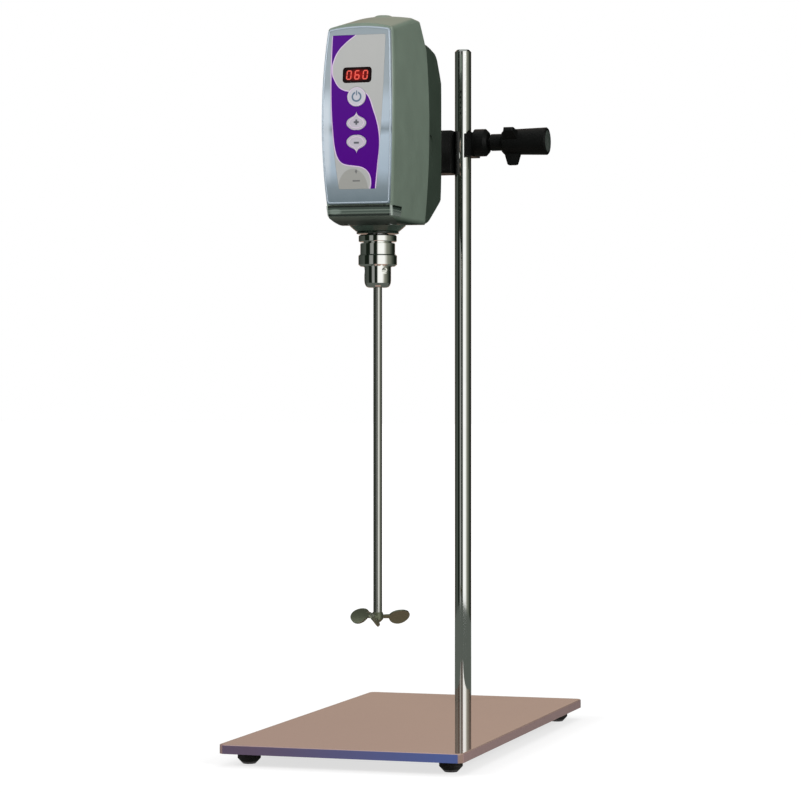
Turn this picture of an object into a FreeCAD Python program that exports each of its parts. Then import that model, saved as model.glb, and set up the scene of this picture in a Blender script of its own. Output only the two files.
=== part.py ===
import FreeCAD, Part
import math
import os

# Overhead stirrer on a plate stand, in millimetres.
# The origin is on the floor under the middle of the base plate, +Z is up and the front faces -Y.

V = FreeCAD.Vector

# Base plate, its feet and the upright rod
plate_width = 216.0
plate_depth = 430.0
plate_thickness = 8.0
plate_corner_radius = 6.0
plate_edge_round = 1.2
foot_diameter = 20.0
foot_tread_diameter = 11.0
foot_height = 11.0
foot_rim_height = 6.2
foot_inset_x = 18.0
foot_inset_y = 29.0
foot_screw_diameter = 4.0
foot_screw_head_diameter = 7.0
foot_screw_head_height = 2.6
foot_screw_recess = 1.4
foot_screw_bite = 5.0
rod_diameter = 16.0
rod_height = 630.5
rod_inset = 44.0
rod_tip_chamfer = 2.0
rod_spigot_diameter = 10.0
rod_spigot_overrun = 1.2
rod_nut_across_flats = 17.0
rod_nut_height = 5.0
rod_washer_diameter = 24.0
rod_washer_thickness = 1.5

# Boss head that clamps the head's arm to the rod
slide_clearance = 0.05
clamp_height = 531.0
arm_offset = 29.2
arm_diameter = 16.0
arm_end_overhang = 17.0
boss_height = 41.5
boss_half_depth = 17.0
boss_arm_wall = 12.7
boss_jaw_wall = 4.4
boss_jaw_height = 23.0
boss_corner_radius = 3.0
lock_screw_rise = 9.0
lock_boss_diameter = 26.5
lock_boss_length = 13.5
lock_boss_chamfer = 3.0
arm_boss_length = 7.0
lock_screw_diameter = 8.0
lock_shoulder_diameter = 16.3
lock_shoulder_length = 11.0
lock_shoulder_gap = 3.0
lock_pad_diameter = 7.0
lock_pad_thickness = 2.0
lock_pad_gap = 0.05
knob_diameter = 26.5
knob_taper = 1.2
knob_edge_round = 2.0
rod_knob_length = 44.7
arm_knob_length = 22.0
knob_cap_diameter = 21.0
knob_cap_thickness = 2.0
knob_bore_depth = 12.0
knob_lobe_reach = 22.5
knob_lobe_width = 13.0
knob_lobe_tip_width = 5.0
knob_lobe_length = 20.0
knob_lobe_tip = 9.0

# Head casing
head_reach = 183.0
arm_above_floor = 84.0
casing_width = 68.6
casing_wall = 2.5
casing_side_radius = 900.0
casing_side_peak = 96.0
casing_face_radius = 450.0
casing_face_peak = 89.0
casing_front = 61.0
casing_seam = 50.0
casing_back = 104.5
casing_top = 195.5
casing_brow = 180.0
casing_brow_slope = 0.215
casing_brow_radius = 112.0
casing_lip = 176.0
casing_lip_lean = 11.0
casing_toe = 13.0
casing_sole = 2.5
casing_heel = 6.5
casing_crown = 1.5
casing_side_corner = 5.0
casing_front_round = 3.5
cover_step = 1.0
cover_top = 175.0
cover_shoulder = 167.0
cover_shoulder_back = 86.0
cover_plan_radius = 13.0
cover_heel_back = 60.0
cover_heel_rise = 33.0
cover_flat_low = 54.0
cover_flat_high = 124.0
vent_count = 5
vent_width = 30.0
vent_slot = 2.2
vent_pitch = 5.5
vent_start = 128.0
grip_pocket_depth = 1.2
grip_pocket_width = 13.0
grip_pocket_height = 23.0
grip_pocket_back = 8.0
grip_pocket_rise = 79.0
case_screw_diameter = 3.0
case_screw_head_diameter = 5.5
case_screw_head_height = 2.2
case_boss_diameter = 8.0
case_boss_spacing = 55.0
case_boss_low = 40.0
case_boss_high = 150.0
case_boss_length = 10.0
case_screw_depth = 8.0
case_screw_seat = 5.0
plug_diameter = 22.0
plug_top_diameter = 13.0
plug_rise = 1.4
plug_stem_diameter = 8.0
plug_back = 18.0

# Front bezel, printed overlay, display and keys
bezel_thickness = 2.5
bezel_margin = 1.8
bezel_bottom = 20.0
bezel_top = 179.0
bezel_corner_radius = 3.5
bezel_foot_radius = 1.5
bezel_crown = 2.8
chin_low = 9.5
chin_high = 18.6
chin_proud = 0.5
chin_thickness = 1.2
chin_wrap = 28.0
overlay_recess = 0.6
overlay_gap = 0.1
overlay_top_half = 25.0
overlay_mid_half = 23.6
overlay_bottom_half = 17.4
overlay_top = 171.0
overlay_mid = 98.0
overlay_bottom = 33.0
window_width = 27.0
window_height = 14.0
window_corner = 3.0
window_rise = 134.6
window_ledge = 1.6
window_thickness = 1.8
key_clearance = 0.3
key_travel = 0.45
key_cap_thickness = 1.3
key_cap_proud = 0.1
key_power_radius = 8.6
key_power_rise = 115.0
key_up_rise = 92.3
key_down_rise = 74.0
key_leaf_width = 18.4
key_leaf_body = 13.4
key_leaf_tip = 9.4
key_stem_diameter = 4.0
key_stem_hole_clearance = 0.35
board_width = 46.0
board_low = 55.0
board_high = 158.0
board_thickness = 1.6
board_setback = 12.5
board_post_diameter = 6.0
board_post_inset = 4.0
board_screw_diameter = 2.5
board_screw_head_diameter = 4.8
board_screw_head_height = 1.8
board_screw_bite = 4.0
switch_width = 6.2
switch_body = 3.4
switch_plunger_diameter = 3.4
display_margin = 0.4

# Drive: neck, gearbox, gears, motor and spindle
neck_diameter = 51.0
neck_lip_diameter = 38.8
neck_straight = 3.2
neck_drop = 4.0
neck_lip_height = 1.4
neck_bore_diameter = 26.0
neck_mouth_diameter = 21.0
seal_thickness = 5.0
gear_module = 1.2
spindle_gear_teeth = 38
pinion_teeth = 16
gear_backlash = 0.24
gear_width = 12.0
pinion_width = 14.0
gearbox_base = 10.2
gearbox_floor = 9.0
gearbox_cavity = 21.0
gearbox_lid = 10.0
gearbox_wall = 2.5
gear_tip_clearance = 0.8
bearing_outer_diameter = 28.0
bearing_inner_land = 17.0
bearing_width = 8.0
bearing_shield_gap = 0.5
spindle_diameter = 12.0
spindle_shoulder_diameter = 18.0
spindle_shoulder_height = 3.0
spindle_top_play = 0.5
spindle_nose_diameter = 10.0
spindle_nose_length = 11.0
motor_diameter = 48.0
motor_length = 73.0
motor_wall = 1.5
motor_end_wall = 3.0
motor_shaft_diameter = 6.0
rotor_diameter = 31.0
rotor_length = 50.0
magnet_inner_diameter = 32.4
magnet_length = 54.0
bush_diameter = 12.0
bush_length = 6.0
gearbox_screw_diameter = 3.0
gearbox_screw_head_diameter = 5.5
gearbox_screw_head_height = 3.0
gearbox_screw_bite = 8.0
post_spacing_x = 40.0
post_front = 26.0
post_rear = 36.0
post_diameter = 11.0
post_screw_diameter = 4.0
post_screw_head_diameter = 7.0
post_screw_head_height = 1.6
post_screw_recess = 1.8

# Rear fittings: arm flange and low-voltage inlet
flange_diameter = 36.0
flange_thickness = 6.0
flange_screw_circle = 27.0
flange_screw_count = 4
flange_screw_diameter = 4.0
flange_screw_head_diameter = 7.0
flange_screw_head_height = 2.4
backing_thickness = 3.5
inlet_rise = 109.4
inlet_collar_diameter = 12.0
inlet_collar_height = 3.0
inlet_barrel_diameter = 9.0
inlet_socket_diameter = 5.6
inlet_pin_diameter = 2.0
inlet_length = 14.0
inlet_nut_thickness = 2.0

# Keyed chuck
chuck_cap_diameter = 34.8
chuck_cap_height = 6.2
chuck_core_diameter = 26.0
chuck_sleeve_drop = 28.6
sleeve_groove = 1.2
sleeve_waist_diameter = 31.8
sleeve_waist_height = 10.4
sleeve_band_diameter = 35.2
sleeve_relief_diameter = 29.4
sleeve_relief_height = 7.5
sleeve_relief_floor = 1.0
sleeve_tooth_count = 24
sleeve_tooth_depth = 1.5
nose_diameter = 24.4
nose_tip_diameter = 17.0
nose_length = 19.2
nose_round = 6.5
chuck_bore_diameter = 8.6
key_hole_diameter = 6.0
key_hole_depth = 5.5
key_hole_drop = 4.2
key_hole_angle = -41.0
jaw_count = 3
jaw_diameter = 4.8
jaw_tilt = 12.0
jaw_tip_offset = 5.0
jaw_height = 20.0
jaw_clearance = 0.06
jaw_grip_clearance = 0.03

# Stirring shaft and propeller
shaft_diameter = 8.0
shaft_length = 337.5
shaft_engagement = 33.0
hub_diameter = 10.0
hub_height = 9.0
blade_count = 3
blade_reach = 31.0
blade_length = 20.0
blade_chord = 16.5
blade_thickness = 1.6
blade_pitch = 50.0
blade_camber_radius = 30.0
blade_neck_width = 4.2
blade_first_angle = 38.5

# Places worked out from the sizes above
plate_bottom = foot_height
plate_top = foot_height + plate_thickness
rod_radius = rod_diameter / 2
rod_y = plate_depth / 2 - rod_inset
arm_x = -arm_offset
arm_z = plate_top + clamp_height
arm_radius = arm_diameter / 2
screw_z = arm_z + lock_screw_rise
slot_radius = rod_radius + slide_clearance
axis_x = arm_x
axis_y = rod_y - head_reach
floor_z = arm_z - arm_above_floor
back_y = axis_y + casing_back
seam_y = axis_y + casing_seam
face_centre_y = axis_y - casing_front + casing_face_radius
face_centre_z = floor_z + casing_face_peak
bezel_radius = casing_face_radius + bezel_thickness
recess_radius = bezel_radius - overlay_recess
gearbox_z = floor_z + gearbox_base
cavity_z = gearbox_z + gearbox_floor
lid_z = cavity_z + gearbox_cavity
motor_z = lid_z + gearbox_lid
gear_pitch_radius = gear_module * spindle_gear_teeth / 2
pinion_pitch_radius = gear_module * pinion_teeth / 2
pinion_y = axis_y + gear_pitch_radius + pinion_pitch_radius
gear_z = cavity_z + (gearbox_cavity - gear_width) / 2
gear_cavity_radius = gear_pitch_radius + gear_module + gear_tip_clearance
pinion_cavity_radius = pinion_pitch_radius + gear_module + gear_tip_clearance
neck_bottom = floor_z - neck_drop
chuck_top = neck_bottom - 1.0
sleeve_top = chuck_top - chuck_cap_height - sleeve_groove
sleeve_bottom = chuck_top - chuck_sleeve_drop
nose_bottom = sleeve_bottom - nose_length
shaft_top = nose_bottom + shaft_engagement
shaft_bottom = shaft_top - shaft_length


def box(x0, x1, y0, y1, z0, z1):
    """A block between two corners."""
    return Part.makeBox(x1 - x0, y1 - y0, z1 - z0, V(x0, y0, z0))


def round_bar(start, direction, radius, length):
    """A cylinder from a point along a direction."""
    return Part.makeCylinder(radius, length, start, direction)


def turned(profile, origin, direction=V(0, 0, 1)):
    """A solid of revolution from (radius, station) points along an axis."""
    points = [V(radius, 0, station) for radius, station in profile]
    face = Part.Face(Part.makePolygon(points + points[:1]))
    solid = face.revolve(V(0, 0, 0), V(0, 0, 1), 360)
    solid.Placement = FreeCAD.Placement(origin, FreeCAD.Rotation(V(0, 0, 1), direction))
    return solid


def ring(origin, direction, outer, inner, length):
    """A tube or washer given by its two radii."""
    return round_bar(origin, direction, outer, length).cut(round_bar(origin, direction, inner, length))


def prism(points, travel):
    """A straight prism on a closed outline of points."""
    return Part.Face(Part.makePolygon(points + points[:1])).extrude(travel)


def wire_prism(edges, travel):
    """A straight prism on a closed chain of edges."""
    return Part.Face(Part.Wire(Part.__sortEdges__(edges))).extrude(travel)


def along(edge, direction):
    """True when a straight edge runs in the given direction."""
    if not isinstance(edge.Curve, Part.Line):
        return False
    return abs(abs(edge.tangentAt(edge.FirstParameter).dot(direction)) - 1) < 1e-6


def rounded(shape, direction, radius, keep=lambda middle: True):
    """Fillet the straight edges that run in a direction and pass a test on their middle."""
    edges = [e for e in shape.Edges if along(e, direction) and keep(e.CenterOfMass)]
    return shape.makeFillet(radius, edges)


def joined(first, others):
    """One solid from a piece and what is grown on it."""
    return first.fuse(list(others)).removeSplitter()


def polar(centre_x, centre_y, radius, degrees):
    """A point on a circle, as an (x, y) pair."""
    angle = math.radians(degrees)
    return centre_x + radius * math.cos(angle), centre_y + radius * math.sin(angle)


def screw(head_point, direction, diameter, length, head_diameter, head_height):
    """A cheese-head screw whose head is seated at head_point and whose shank runs along direction."""
    back = V(direction).multiply(-head_height)
    head = round_bar(head_point.add(back), direction, head_diameter / 2, head_height)
    slot_width = head_diameter * 0.16
    slot = box(-slot_width / 2, slot_width / 2, -head_diameter, head_diameter, -0.01, head_height * 0.45)
    slot.Placement = FreeCAD.Placement(head_point.add(back), FreeCAD.Rotation(V(0, 0, 1), direction))
    shank = round_bar(head_point, direction, diameter / 2, length)
    return head.cut(slot).fuse(shank).removeSplitter()


def export(name, *solids):
    """Write one sub-part, as one solid or a group of separate ones."""
    shape = solids[0] if len(solids) == 1 else Part.makeCompound(list(solids))
    shape.exportStep("parts/" + name + ".step")


# Stand

def foot_places():
    """The four foot centres under the plate."""
    dx = plate_width / 2 - foot_inset_x
    dy = plate_depth / 2 - foot_inset_y
    return [(x, y) for x in (-dx, dx) for y in (-dy, dy)]


def base_plate():
    plate = box(-plate_width / 2, plate_width / 2, -plate_depth / 2, plate_depth / 2, plate_bottom, plate_top)
    plate = rounded(plate, V(0, 0, 1), plate_corner_radius)
    rim = [e for e in plate.Edges if abs(e.BoundBox.ZMin - plate_top) < 1e-6]
    plate = plate.makeFillet(plate_edge_round, rim)
    holes = [round_bar(V(0, rod_y, plate_bottom), V(0, 0, 1), rod_spigot_diameter / 2, plate_thickness)]
    for x, y in foot_places():
        holes.append(round_bar(V(x, y, plate_bottom), V(0, 0, 1), foot_screw_diameter / 2, foot_screw_bite))
    return plate.cut(holes)


def rubber_foot(x, y):
    rim_bottom = foot_height - foot_rim_height
    profile = [(0, 0), (foot_tread_diameter / 2, 0), (foot_diameter / 2, rim_bottom)]
    profile += [(foot_diameter / 2, foot_height), (0, foot_height)]
    body = turned(profile, V(x, y, 0))
    bore = round_bar(V(x, y, 0), V(0, 0, 1), foot_screw_diameter / 2, foot_height)
    head = foot_screw_recess + foot_screw_head_height
    recess = round_bar(V(x, y, 0), V(0, 0, 1), foot_screw_head_diameter / 2, head)
    return body.cut([bore, recess])


def foot_screw(x, y):
    seat = foot_screw_recess + foot_screw_head_height
    length = foot_height - seat + foot_screw_bite
    return screw(V(x, y, seat), V(0, 0, 1), foot_screw_diameter, length,
                 foot_screw_head_diameter, foot_screw_head_height)


def support_rod():
    spigot_length = plate_thickness + rod_washer_thickness + rod_nut_height + rod_spigot_overrun
    top = rod_height
    profile = [(0, -spigot_length), (rod_spigot_diameter / 2, -spigot_length), (rod_spigot_diameter / 2, 0)]
    profile += [(rod_radius, 0), (rod_radius, top - rod_tip_chamfer)]
    profile += [(rod_radius - rod_tip_chamfer, top), (0, top)]
    return turned(profile, V(0, rod_y, plate_top))


def rod_washer():
    z = plate_bottom - rod_washer_thickness
    return ring(V(0, rod_y, z), V(0, 0, 1), rod_washer_diameter / 2, rod_spigot_diameter / 2,
                rod_washer_thickness)


def rod_nut():
    z = plate_bottom - rod_washer_thickness - rod_nut_height
    corner = rod_nut_across_flats / math.sqrt(3)
    outline = [V(*polar(0, rod_y, corner, 60 * k), z) for k in range(6)]
    nut = prism(outline, V(0, 0, rod_nut_height))
    return nut.cut(round_bar(V(0, rod_y, z), V(0, 0, 1), rod_spigot_diameter / 2, rod_nut_height))


# Boss head, lock screws and knobs

def boss_head():
    left = arm_x - arm_radius - boss_arm_wall
    right = slot_radius + boss_jaw_wall
    low = arm_z - boss_height / 2
    high = arm_z + boss_height / 2
    jaw_low = screw_z - boss_jaw_height / 2 - 2
    jaw_high = min(jaw_low + boss_jaw_height, high)
    depth = 2 * boss_half_depth
    front = rod_y - boss_half_depth
    outline = [V(left, front, low), V(-slot_radius, front, low), V(0, front, jaw_low)]
    outline += [V(right, front, jaw_low), V(right, front, jaw_high), V(slot_radius, front, jaw_high)]
    outline += [V(-slot_radius, front, high), V(left, front, high)]
    body = prism(outline, V(0, depth, 0))
    body = rounded(body, V(0, 1, 0), boss_corner_radius, lambda m: m.x < left + 1)
    body = rounded(body, V(0, 0, 1), boss_corner_radius, lambda m: m.x < left + 1)
    boss = turned([(0, 0), (lock_boss_diameter / 2, 0),
                   (lock_boss_diameter / 2, lock_boss_length - lock_boss_chamfer),
                   (lock_boss_diameter / 2 - lock_boss_chamfer, lock_boss_length), (0, lock_boss_length)],
                  V(right, rod_y, screw_z), V(1, 0, 0))
    arm_boss = turned([(0, 0), (lock_boss_diameter / 2, 0),
                       (lock_boss_diameter / 2, arm_boss_length - lock_boss_chamfer),
                       (lock_boss_diameter / 2 - lock_boss_chamfer, arm_boss_length), (0, arm_boss_length)],
                      V(left, rod_y, arm_z), V(-1, 0, 0))
    body = joined(body, [boss, arm_boss])
    slot = box(-slot_radius, slot_radius, front - 1, rod_y, low - 1, high + 1)
    seat = round_bar(V(0, rod_y, low - 1), V(0, 0, 1), slot_radius, boss_height + 2)
    arm_bore = round_bar(V(arm_x, front - 1, arm_z), V(0, 1, 0), arm_radius + slide_clearance, depth + 2)
    screw_radius = lock_screw_diameter / 2 + slide_clearance
    rod_tap = round_bar(V(0, rod_y, screw_z), V(1, 0, 0), screw_radius, right + lock_boss_length + 1)
    arm_tap = round_bar(V(arm_x, rod_y, arm_z), V(-1, 0, 0), screw_radius,
                        arm_x - left + arm_boss_length + 1)
    return body.cut([slot, seat, arm_bore, rod_tap, arm_tap])


def lock_frame(rod_side):
    """Start on the clamped bar's surface, direction, and length of the thread in the boss head."""
    if rod_side:
        start = V(rod_radius, rod_y, screw_z)
        return start, V(1, 0, 0), slot_radius + boss_jaw_wall + lock_boss_length - rod_radius
    start = V(arm_x - arm_radius, rod_y, arm_z)
    return start, V(-1, 0, 0), boss_arm_wall + arm_boss_length


def lock_pad(rod_side):
    start, direction, _ = lock_frame(rod_side)
    face = start.add(V(direction).multiply(lock_pad_gap))
    return round_bar(face, direction, lock_pad_diameter / 2, lock_pad_thickness)


def lock_screw(rod_side):
    start, direction, thread = lock_frame(rod_side)
    shoulder = thread + lock_shoulder_gap
    tip = lock_pad_gap + lock_pad_thickness
    radius = lock_screw_diameter / 2
    profile = [(0, tip), (radius - 0.8, tip), (radius, tip + 0.8), (radius, shoulder)]
    profile += [(lock_shoulder_diameter / 2, shoulder)]
    profile += [(lock_shoulder_diameter / 2, shoulder + lock_shoulder_length)]
    profile += [(radius, shoulder + lock_shoulder_length)]
    profile += [(radius, shoulder + lock_shoulder_length + knob_bore_depth)]
    profile += [(0, shoulder + lock_shoulder_length + knob_bore_depth)]
    return turned(profile, start, direction)


def lock_knob(rod_side):
    start, direction, thread = lock_frame(rod_side)
    base = thread + lock_shoulder_gap + lock_shoulder_length
    length = rod_knob_length if rod_side else arm_knob_length
    outer = knob_diameter / 2
    inner = outer - knob_taper
    profile = [(0, 0), (inner - knob_edge_round, 0), (inner, knob_edge_round)]
    profile += [(outer, length - knob_edge_round / 2), (outer - knob_edge_round / 2, length), (0, length)]
    origin = start.add(V(direction).multiply(base))
    grip = turned(profile, origin, direction)
    half = knob_lobe_width / 2
    tip = knob_lobe_tip_width / 2
    root = min(knob_lobe_length, length - 1)
    middle = root / 2
    lobes = []
    for turn in (0, 120, 240):
        side = [V(0, -half, 0), V(0, -half, root), V(knob_lobe_reach, -half, middle + knob_lobe_tip / 2)]
        side += [V(knob_lobe_reach, -half, middle - knob_lobe_tip / 2)]
        lobe = prism(side, V(0, knob_lobe_width, 0))
        plan = prism([V(0, -half, 0), V(0, half, 0), V(knob_lobe_reach, tip, 0), V(knob_lobe_reach, -tip, 0)],
                     V(0, 0, root))
        lobe = rounded(lobe, V(0, 1, 0), knob_edge_round, lambda m: m.x > knob_lobe_reach - 1)
        lobe = lobe.common(rounded(plan, V(0, 0, 1), tip - 0.5, lambda m: m.x > knob_lobe_reach - 1))
        lobe.rotate(V(0, 0, 0), V(0, 0, 1), turn)
        lobes.append(lobe)
    star = lobes[0].fuse(lobes[1:])
    down = FreeCAD.Rotation(V(0, 0, -1), V(0, 1, 0), direction, "ZXY")
    star.Placement = FreeCAD.Placement(origin, down)
    knob = joined(grip, [star])
    bore = round_bar(origin, direction, lock_screw_diameter / 2, knob_bore_depth)
    cap_seat = origin.add(V(direction).multiply(length - knob_cap_thickness))
    recess = round_bar(cap_seat, direction, knob_cap_diameter / 2, knob_cap_thickness + 1)
    return knob.cut([bore, recess])


def knob_cap(rod_side):
    start, direction, thread = lock_frame(rod_side)
    length = rod_knob_length if rod_side else arm_knob_length
    base = thread + lock_shoulder_gap + lock_shoulder_length + length - knob_cap_thickness
    origin = start.add(V(direction).multiply(base))
    edge = 0.5
    profile = [(0, 0), (knob_cap_diameter / 2, 0), (knob_cap_diameter / 2, knob_cap_thickness - edge)]
    profile += [(knob_cap_diameter / 2 - edge, knob_cap_thickness), (0, knob_cap_thickness)]
    return turned(profile, origin, direction)


# Head casing

def half_width_at(z, inset):
    """Half the casing's width at a height, on its barrel-shaped sides."""
    rise = z - floor_z - casing_side_peak
    sag = casing_side_radius - math.sqrt(casing_side_radius * casing_side_radius - rise * rise)
    return casing_width / 2 - inset - sag


def barrel_outline(low, high, inset, crown, y):
    """Front outline with barrel-shaped sides, a flat foot and a crowned top, as edges at one depth."""
    middle = (low + high) / 2
    left_low = V(axis_x - half_width_at(low, inset), y, low)
    left_mid = V(axis_x - half_width_at(middle, inset), y, middle)
    left_high = V(axis_x - half_width_at(high, inset), y, high)
    right_low = V(2 * axis_x - left_low.x, y, low)
    right_mid = V(2 * axis_x - left_mid.x, y, middle)
    right_high = V(2 * axis_x - left_high.x, y, high)
    edges = [Part.Arc(left_low, left_mid, left_high).toShape()]
    if crown > 0:
        edges.append(Part.Arc(left_high, V(axis_x, y, high + crown), right_high).toShape())
    else:
        edges.append(Part.makeLine(left_high, right_high))
    edges.append(Part.Arc(right_high, right_mid, right_low).toShape())
    edges.append(Part.makeLine(right_low, left_low))
    return edges


def front_block(low, high, inset, crown, corner):
    """The casing's front outline run right through from front to back."""
    depth = casing_front + casing_back + 40
    y = axis_y - casing_front - 20
    block = wire_prism(barrel_outline(low, high, inset, crown, y), V(0, depth, 0))
    return rounded(block, V(0, 1, 0), corner)


def side_block(points, radii):
    """A side outline, from (back, rise) points and the rounding of each corner, run right through."""
    x = axis_x - casing_width
    outline = [V(x, axis_y + back, floor_z + rise) for back, rise in points]
    block = prism(outline, V(2 * casing_width, 0, 0))
    for (back, rise), radius in zip(points, radii):
        if radius > 0:
            corner = V(axis_x, axis_y + back, floor_z + rise)
            edges = [e for e in block.Edges if along(e, V(1, 0, 0))
                     and abs(e.CenterOfMass.y - corner.y) < 1e-3 and abs(e.CenterOfMass.z - corner.z) < 1e-3]
            block = block.makeFillet(radius, edges)
    return block


def face_drum(radius):
    """The bowed front face as a wide drum lying across the casing."""
    start = V(axis_x - casing_width, face_centre_y, face_centre_z)
    return round_bar(start, V(1, 0, 0), radius, 2 * casing_width)


def face_y(z, radius):
    """Depth of the bowed face at a height."""
    rise = z - face_centre_z
    return face_centre_y - math.sqrt(radius * radius - rise * rise)


def sole_start():
    """Where the casing's underside starts to rise towards the seam, behind the spindle axis."""
    return -casing_front + 35


def brow_drum(inset):
    """The crowned front part of the casing's top, as a wide bar that climbs towards the back."""
    way = V(0, 1, casing_brow_slope).normalize()
    square = V(0, -way.z, way.y)
    ridge = V(axis_x, axis_y - casing_front, floor_z + casing_brow)
    start = ridge - square * casing_brow_radius - way * 60
    return round_bar(start, way, casing_brow_radius - inset, casing_front + casing_back + 120)


def shell_form(inset):
    """The front shell's closed form, drawn in by an inset; at no inset it is the outside."""
    ahead = -casing_front - 10
    points = [(ahead, casing_toe + inset), (sole_start(), casing_sole + inset)]
    points += [(casing_seam - 4, casing_heel + inset)]
    if inset > 0:
        lip = cover_top - inset
        points += [(casing_seam + 1, casing_heel + inset), (casing_seam + 1, lip), (casing_seam - inset, lip)]
    else:
        points += [(casing_seam, casing_heel), (casing_seam, casing_lip)]
    points += [(casing_seam - casing_lip_lean - inset, casing_top - inset), (ahead, casing_top - inset)]
    radii = [0, 20] + [0 for point in points[2:]]
    block = side_block(points, radii)
    low = floor_z + casing_sole
    top = floor_z + casing_top - casing_crown - inset
    y = axis_y - casing_front - 20
    outline = barrel_outline(low + inset, top, inset, casing_crown, y)
    front = wire_prism(outline, V(0, casing_front + casing_back, 0))
    radius = max(casing_side_corner - inset, 1)
    front = rounded(front, V(0, 1, 0), radius, lambda m: m.z < face_centre_z)
    form = block.common(front).common(brow_drum(inset))
    edges = [e for e in form.Edges if e.BoundBox.ZMin > floor_z + casing_brow - 40 and e.BoundBox.YLength > 8
             and abs(e.CenterOfMass.x - axis_x) > casing_width / 3]
    return form.makeFillet(radius, edges).common(face_drum(casing_face_radius - inset))


def cover_form(inset):
    """The rear cover's closed form, a step inside the shell at the seam and rounded towards the back."""
    start = casing_seam - (1 if inset > 0 else 0)
    back = casing_back - inset
    points = [(start, casing_heel + 1 + inset), (cover_heel_back, casing_heel + 1 + inset)]
    points += [(back - 4, cover_heel_rise + inset), (back, cover_flat_low)]
    points += [(back, cover_flat_high), (cover_shoulder_back - inset, cover_shoulder - inset)]
    points += [(start, cover_top - inset)]
    radii = [0, 6, 16, 30, 30, 14 - inset, 0]
    block = side_block(points, radii)
    low = floor_z + casing_heel
    top = floor_z + cover_top - inset
    step = cover_step + inset
    front = front_block(low + step, top, step, casing_crown, max(casing_side_corner - inset, 1))
    width = casing_width / 2 - step
    plan = box(axis_x - width, axis_x + width, axis_y + start - 30, axis_y + back, low - 5, top + 10)
    plan = rounded(plan, V(0, 0, 1), cover_plan_radius - inset, lambda m: m.y > axis_y)
    return block.common(front).common(plan)


def case_boss_places():
    """Where the case screws run, as (x, z)."""
    xs = (axis_x - case_boss_spacing / 2, axis_x + case_boss_spacing / 2)
    return [(x, floor_z + rise) for x in xs for rise in (case_boss_low, case_boss_high)]


def post_places():
    """Posts on the casing floor that carry the gearbox, as (x, y)."""
    xs = (axis_x - post_spacing_x / 2, axis_x + post_spacing_x / 2)
    return [(x, axis_y + back) for x in xs for back in (-post_front, post_rear)]


def board_post_places():
    """Posts inside the front wall that carry the control board, as (x, z)."""
    dx = board_width / 2 - board_post_inset
    rises = (board_low + board_post_inset, board_high - board_post_inset)
    return [(axis_x + side * dx, floor_z + rise) for side in (-1, 1) for rise in rises]


def board_front():
    """Depth of the control board's front face."""
    return face_y(face_centre_z, casing_face_radius) + board_setback


def key_rises():
    return {"power": key_power_rise, "up": key_up_rise, "down": key_down_rise}


def window_block(margin, start, depth):
    """The display window's rounded opening as a prism from front to back."""
    half = window_width / 2 + margin
    z = floor_z + window_rise
    tall = window_height / 2 + margin
    block = box(axis_x - half, axis_x + half, start, start + depth, z - tall, z + tall)
    return rounded(block, V(0, 1, 0), max(window_corner + margin, 0.8))


def grip_pockets():
    """Shallow oval pockets in both sides of the rear cover."""
    z = floor_z + grip_pocket_rise
    y = seam_y + grip_pocket_back
    radius = grip_pocket_width / 2
    tall = grip_pocket_height / 2 - radius
    half = half_width_at(z, cover_step)
    pockets = []
    for side in (-1, 1):
        x = axis_x + side * (half - grip_pocket_depth) if side > 0 else axis_x - half - 5
        slab = box(x, x + grip_pocket_depth + 5, y - radius, y + radius, z - tall, z + tall)
        ends = [round_bar(V(x, y, z + end * tall), V(1, 0, 0), radius, grip_pocket_depth + 5)
                for end in (-1, 1)]
        pockets.append(slab.fuse(ends).removeSplitter())
    return pockets


def tall_front(grow, thicker):
    """The casing's front outline run past its top and foot, bowed in front, with the long edges rounded."""
    y = axis_y - casing_front - 20
    outline = barrel_outline(floor_z - 15, floor_z + casing_top + 15, -grow, 5, y)
    tall = wire_prism(outline, V(0, casing_front + casing_back + 40, 0))
    tall = tall.common(face_drum(casing_face_radius + thicker))
    edges = [e for e in tall.Edges if e.BoundBox.YMax < axis_y and e.BoundBox.ZLength > 100]
    return tall.makeFillet(casing_front_round + grow, edges)


def shell_outside():
    """The front shell's closed outer form with the long edges beside its face rounded."""
    return shell_form(0).common(tall_front(0, 0))


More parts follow.
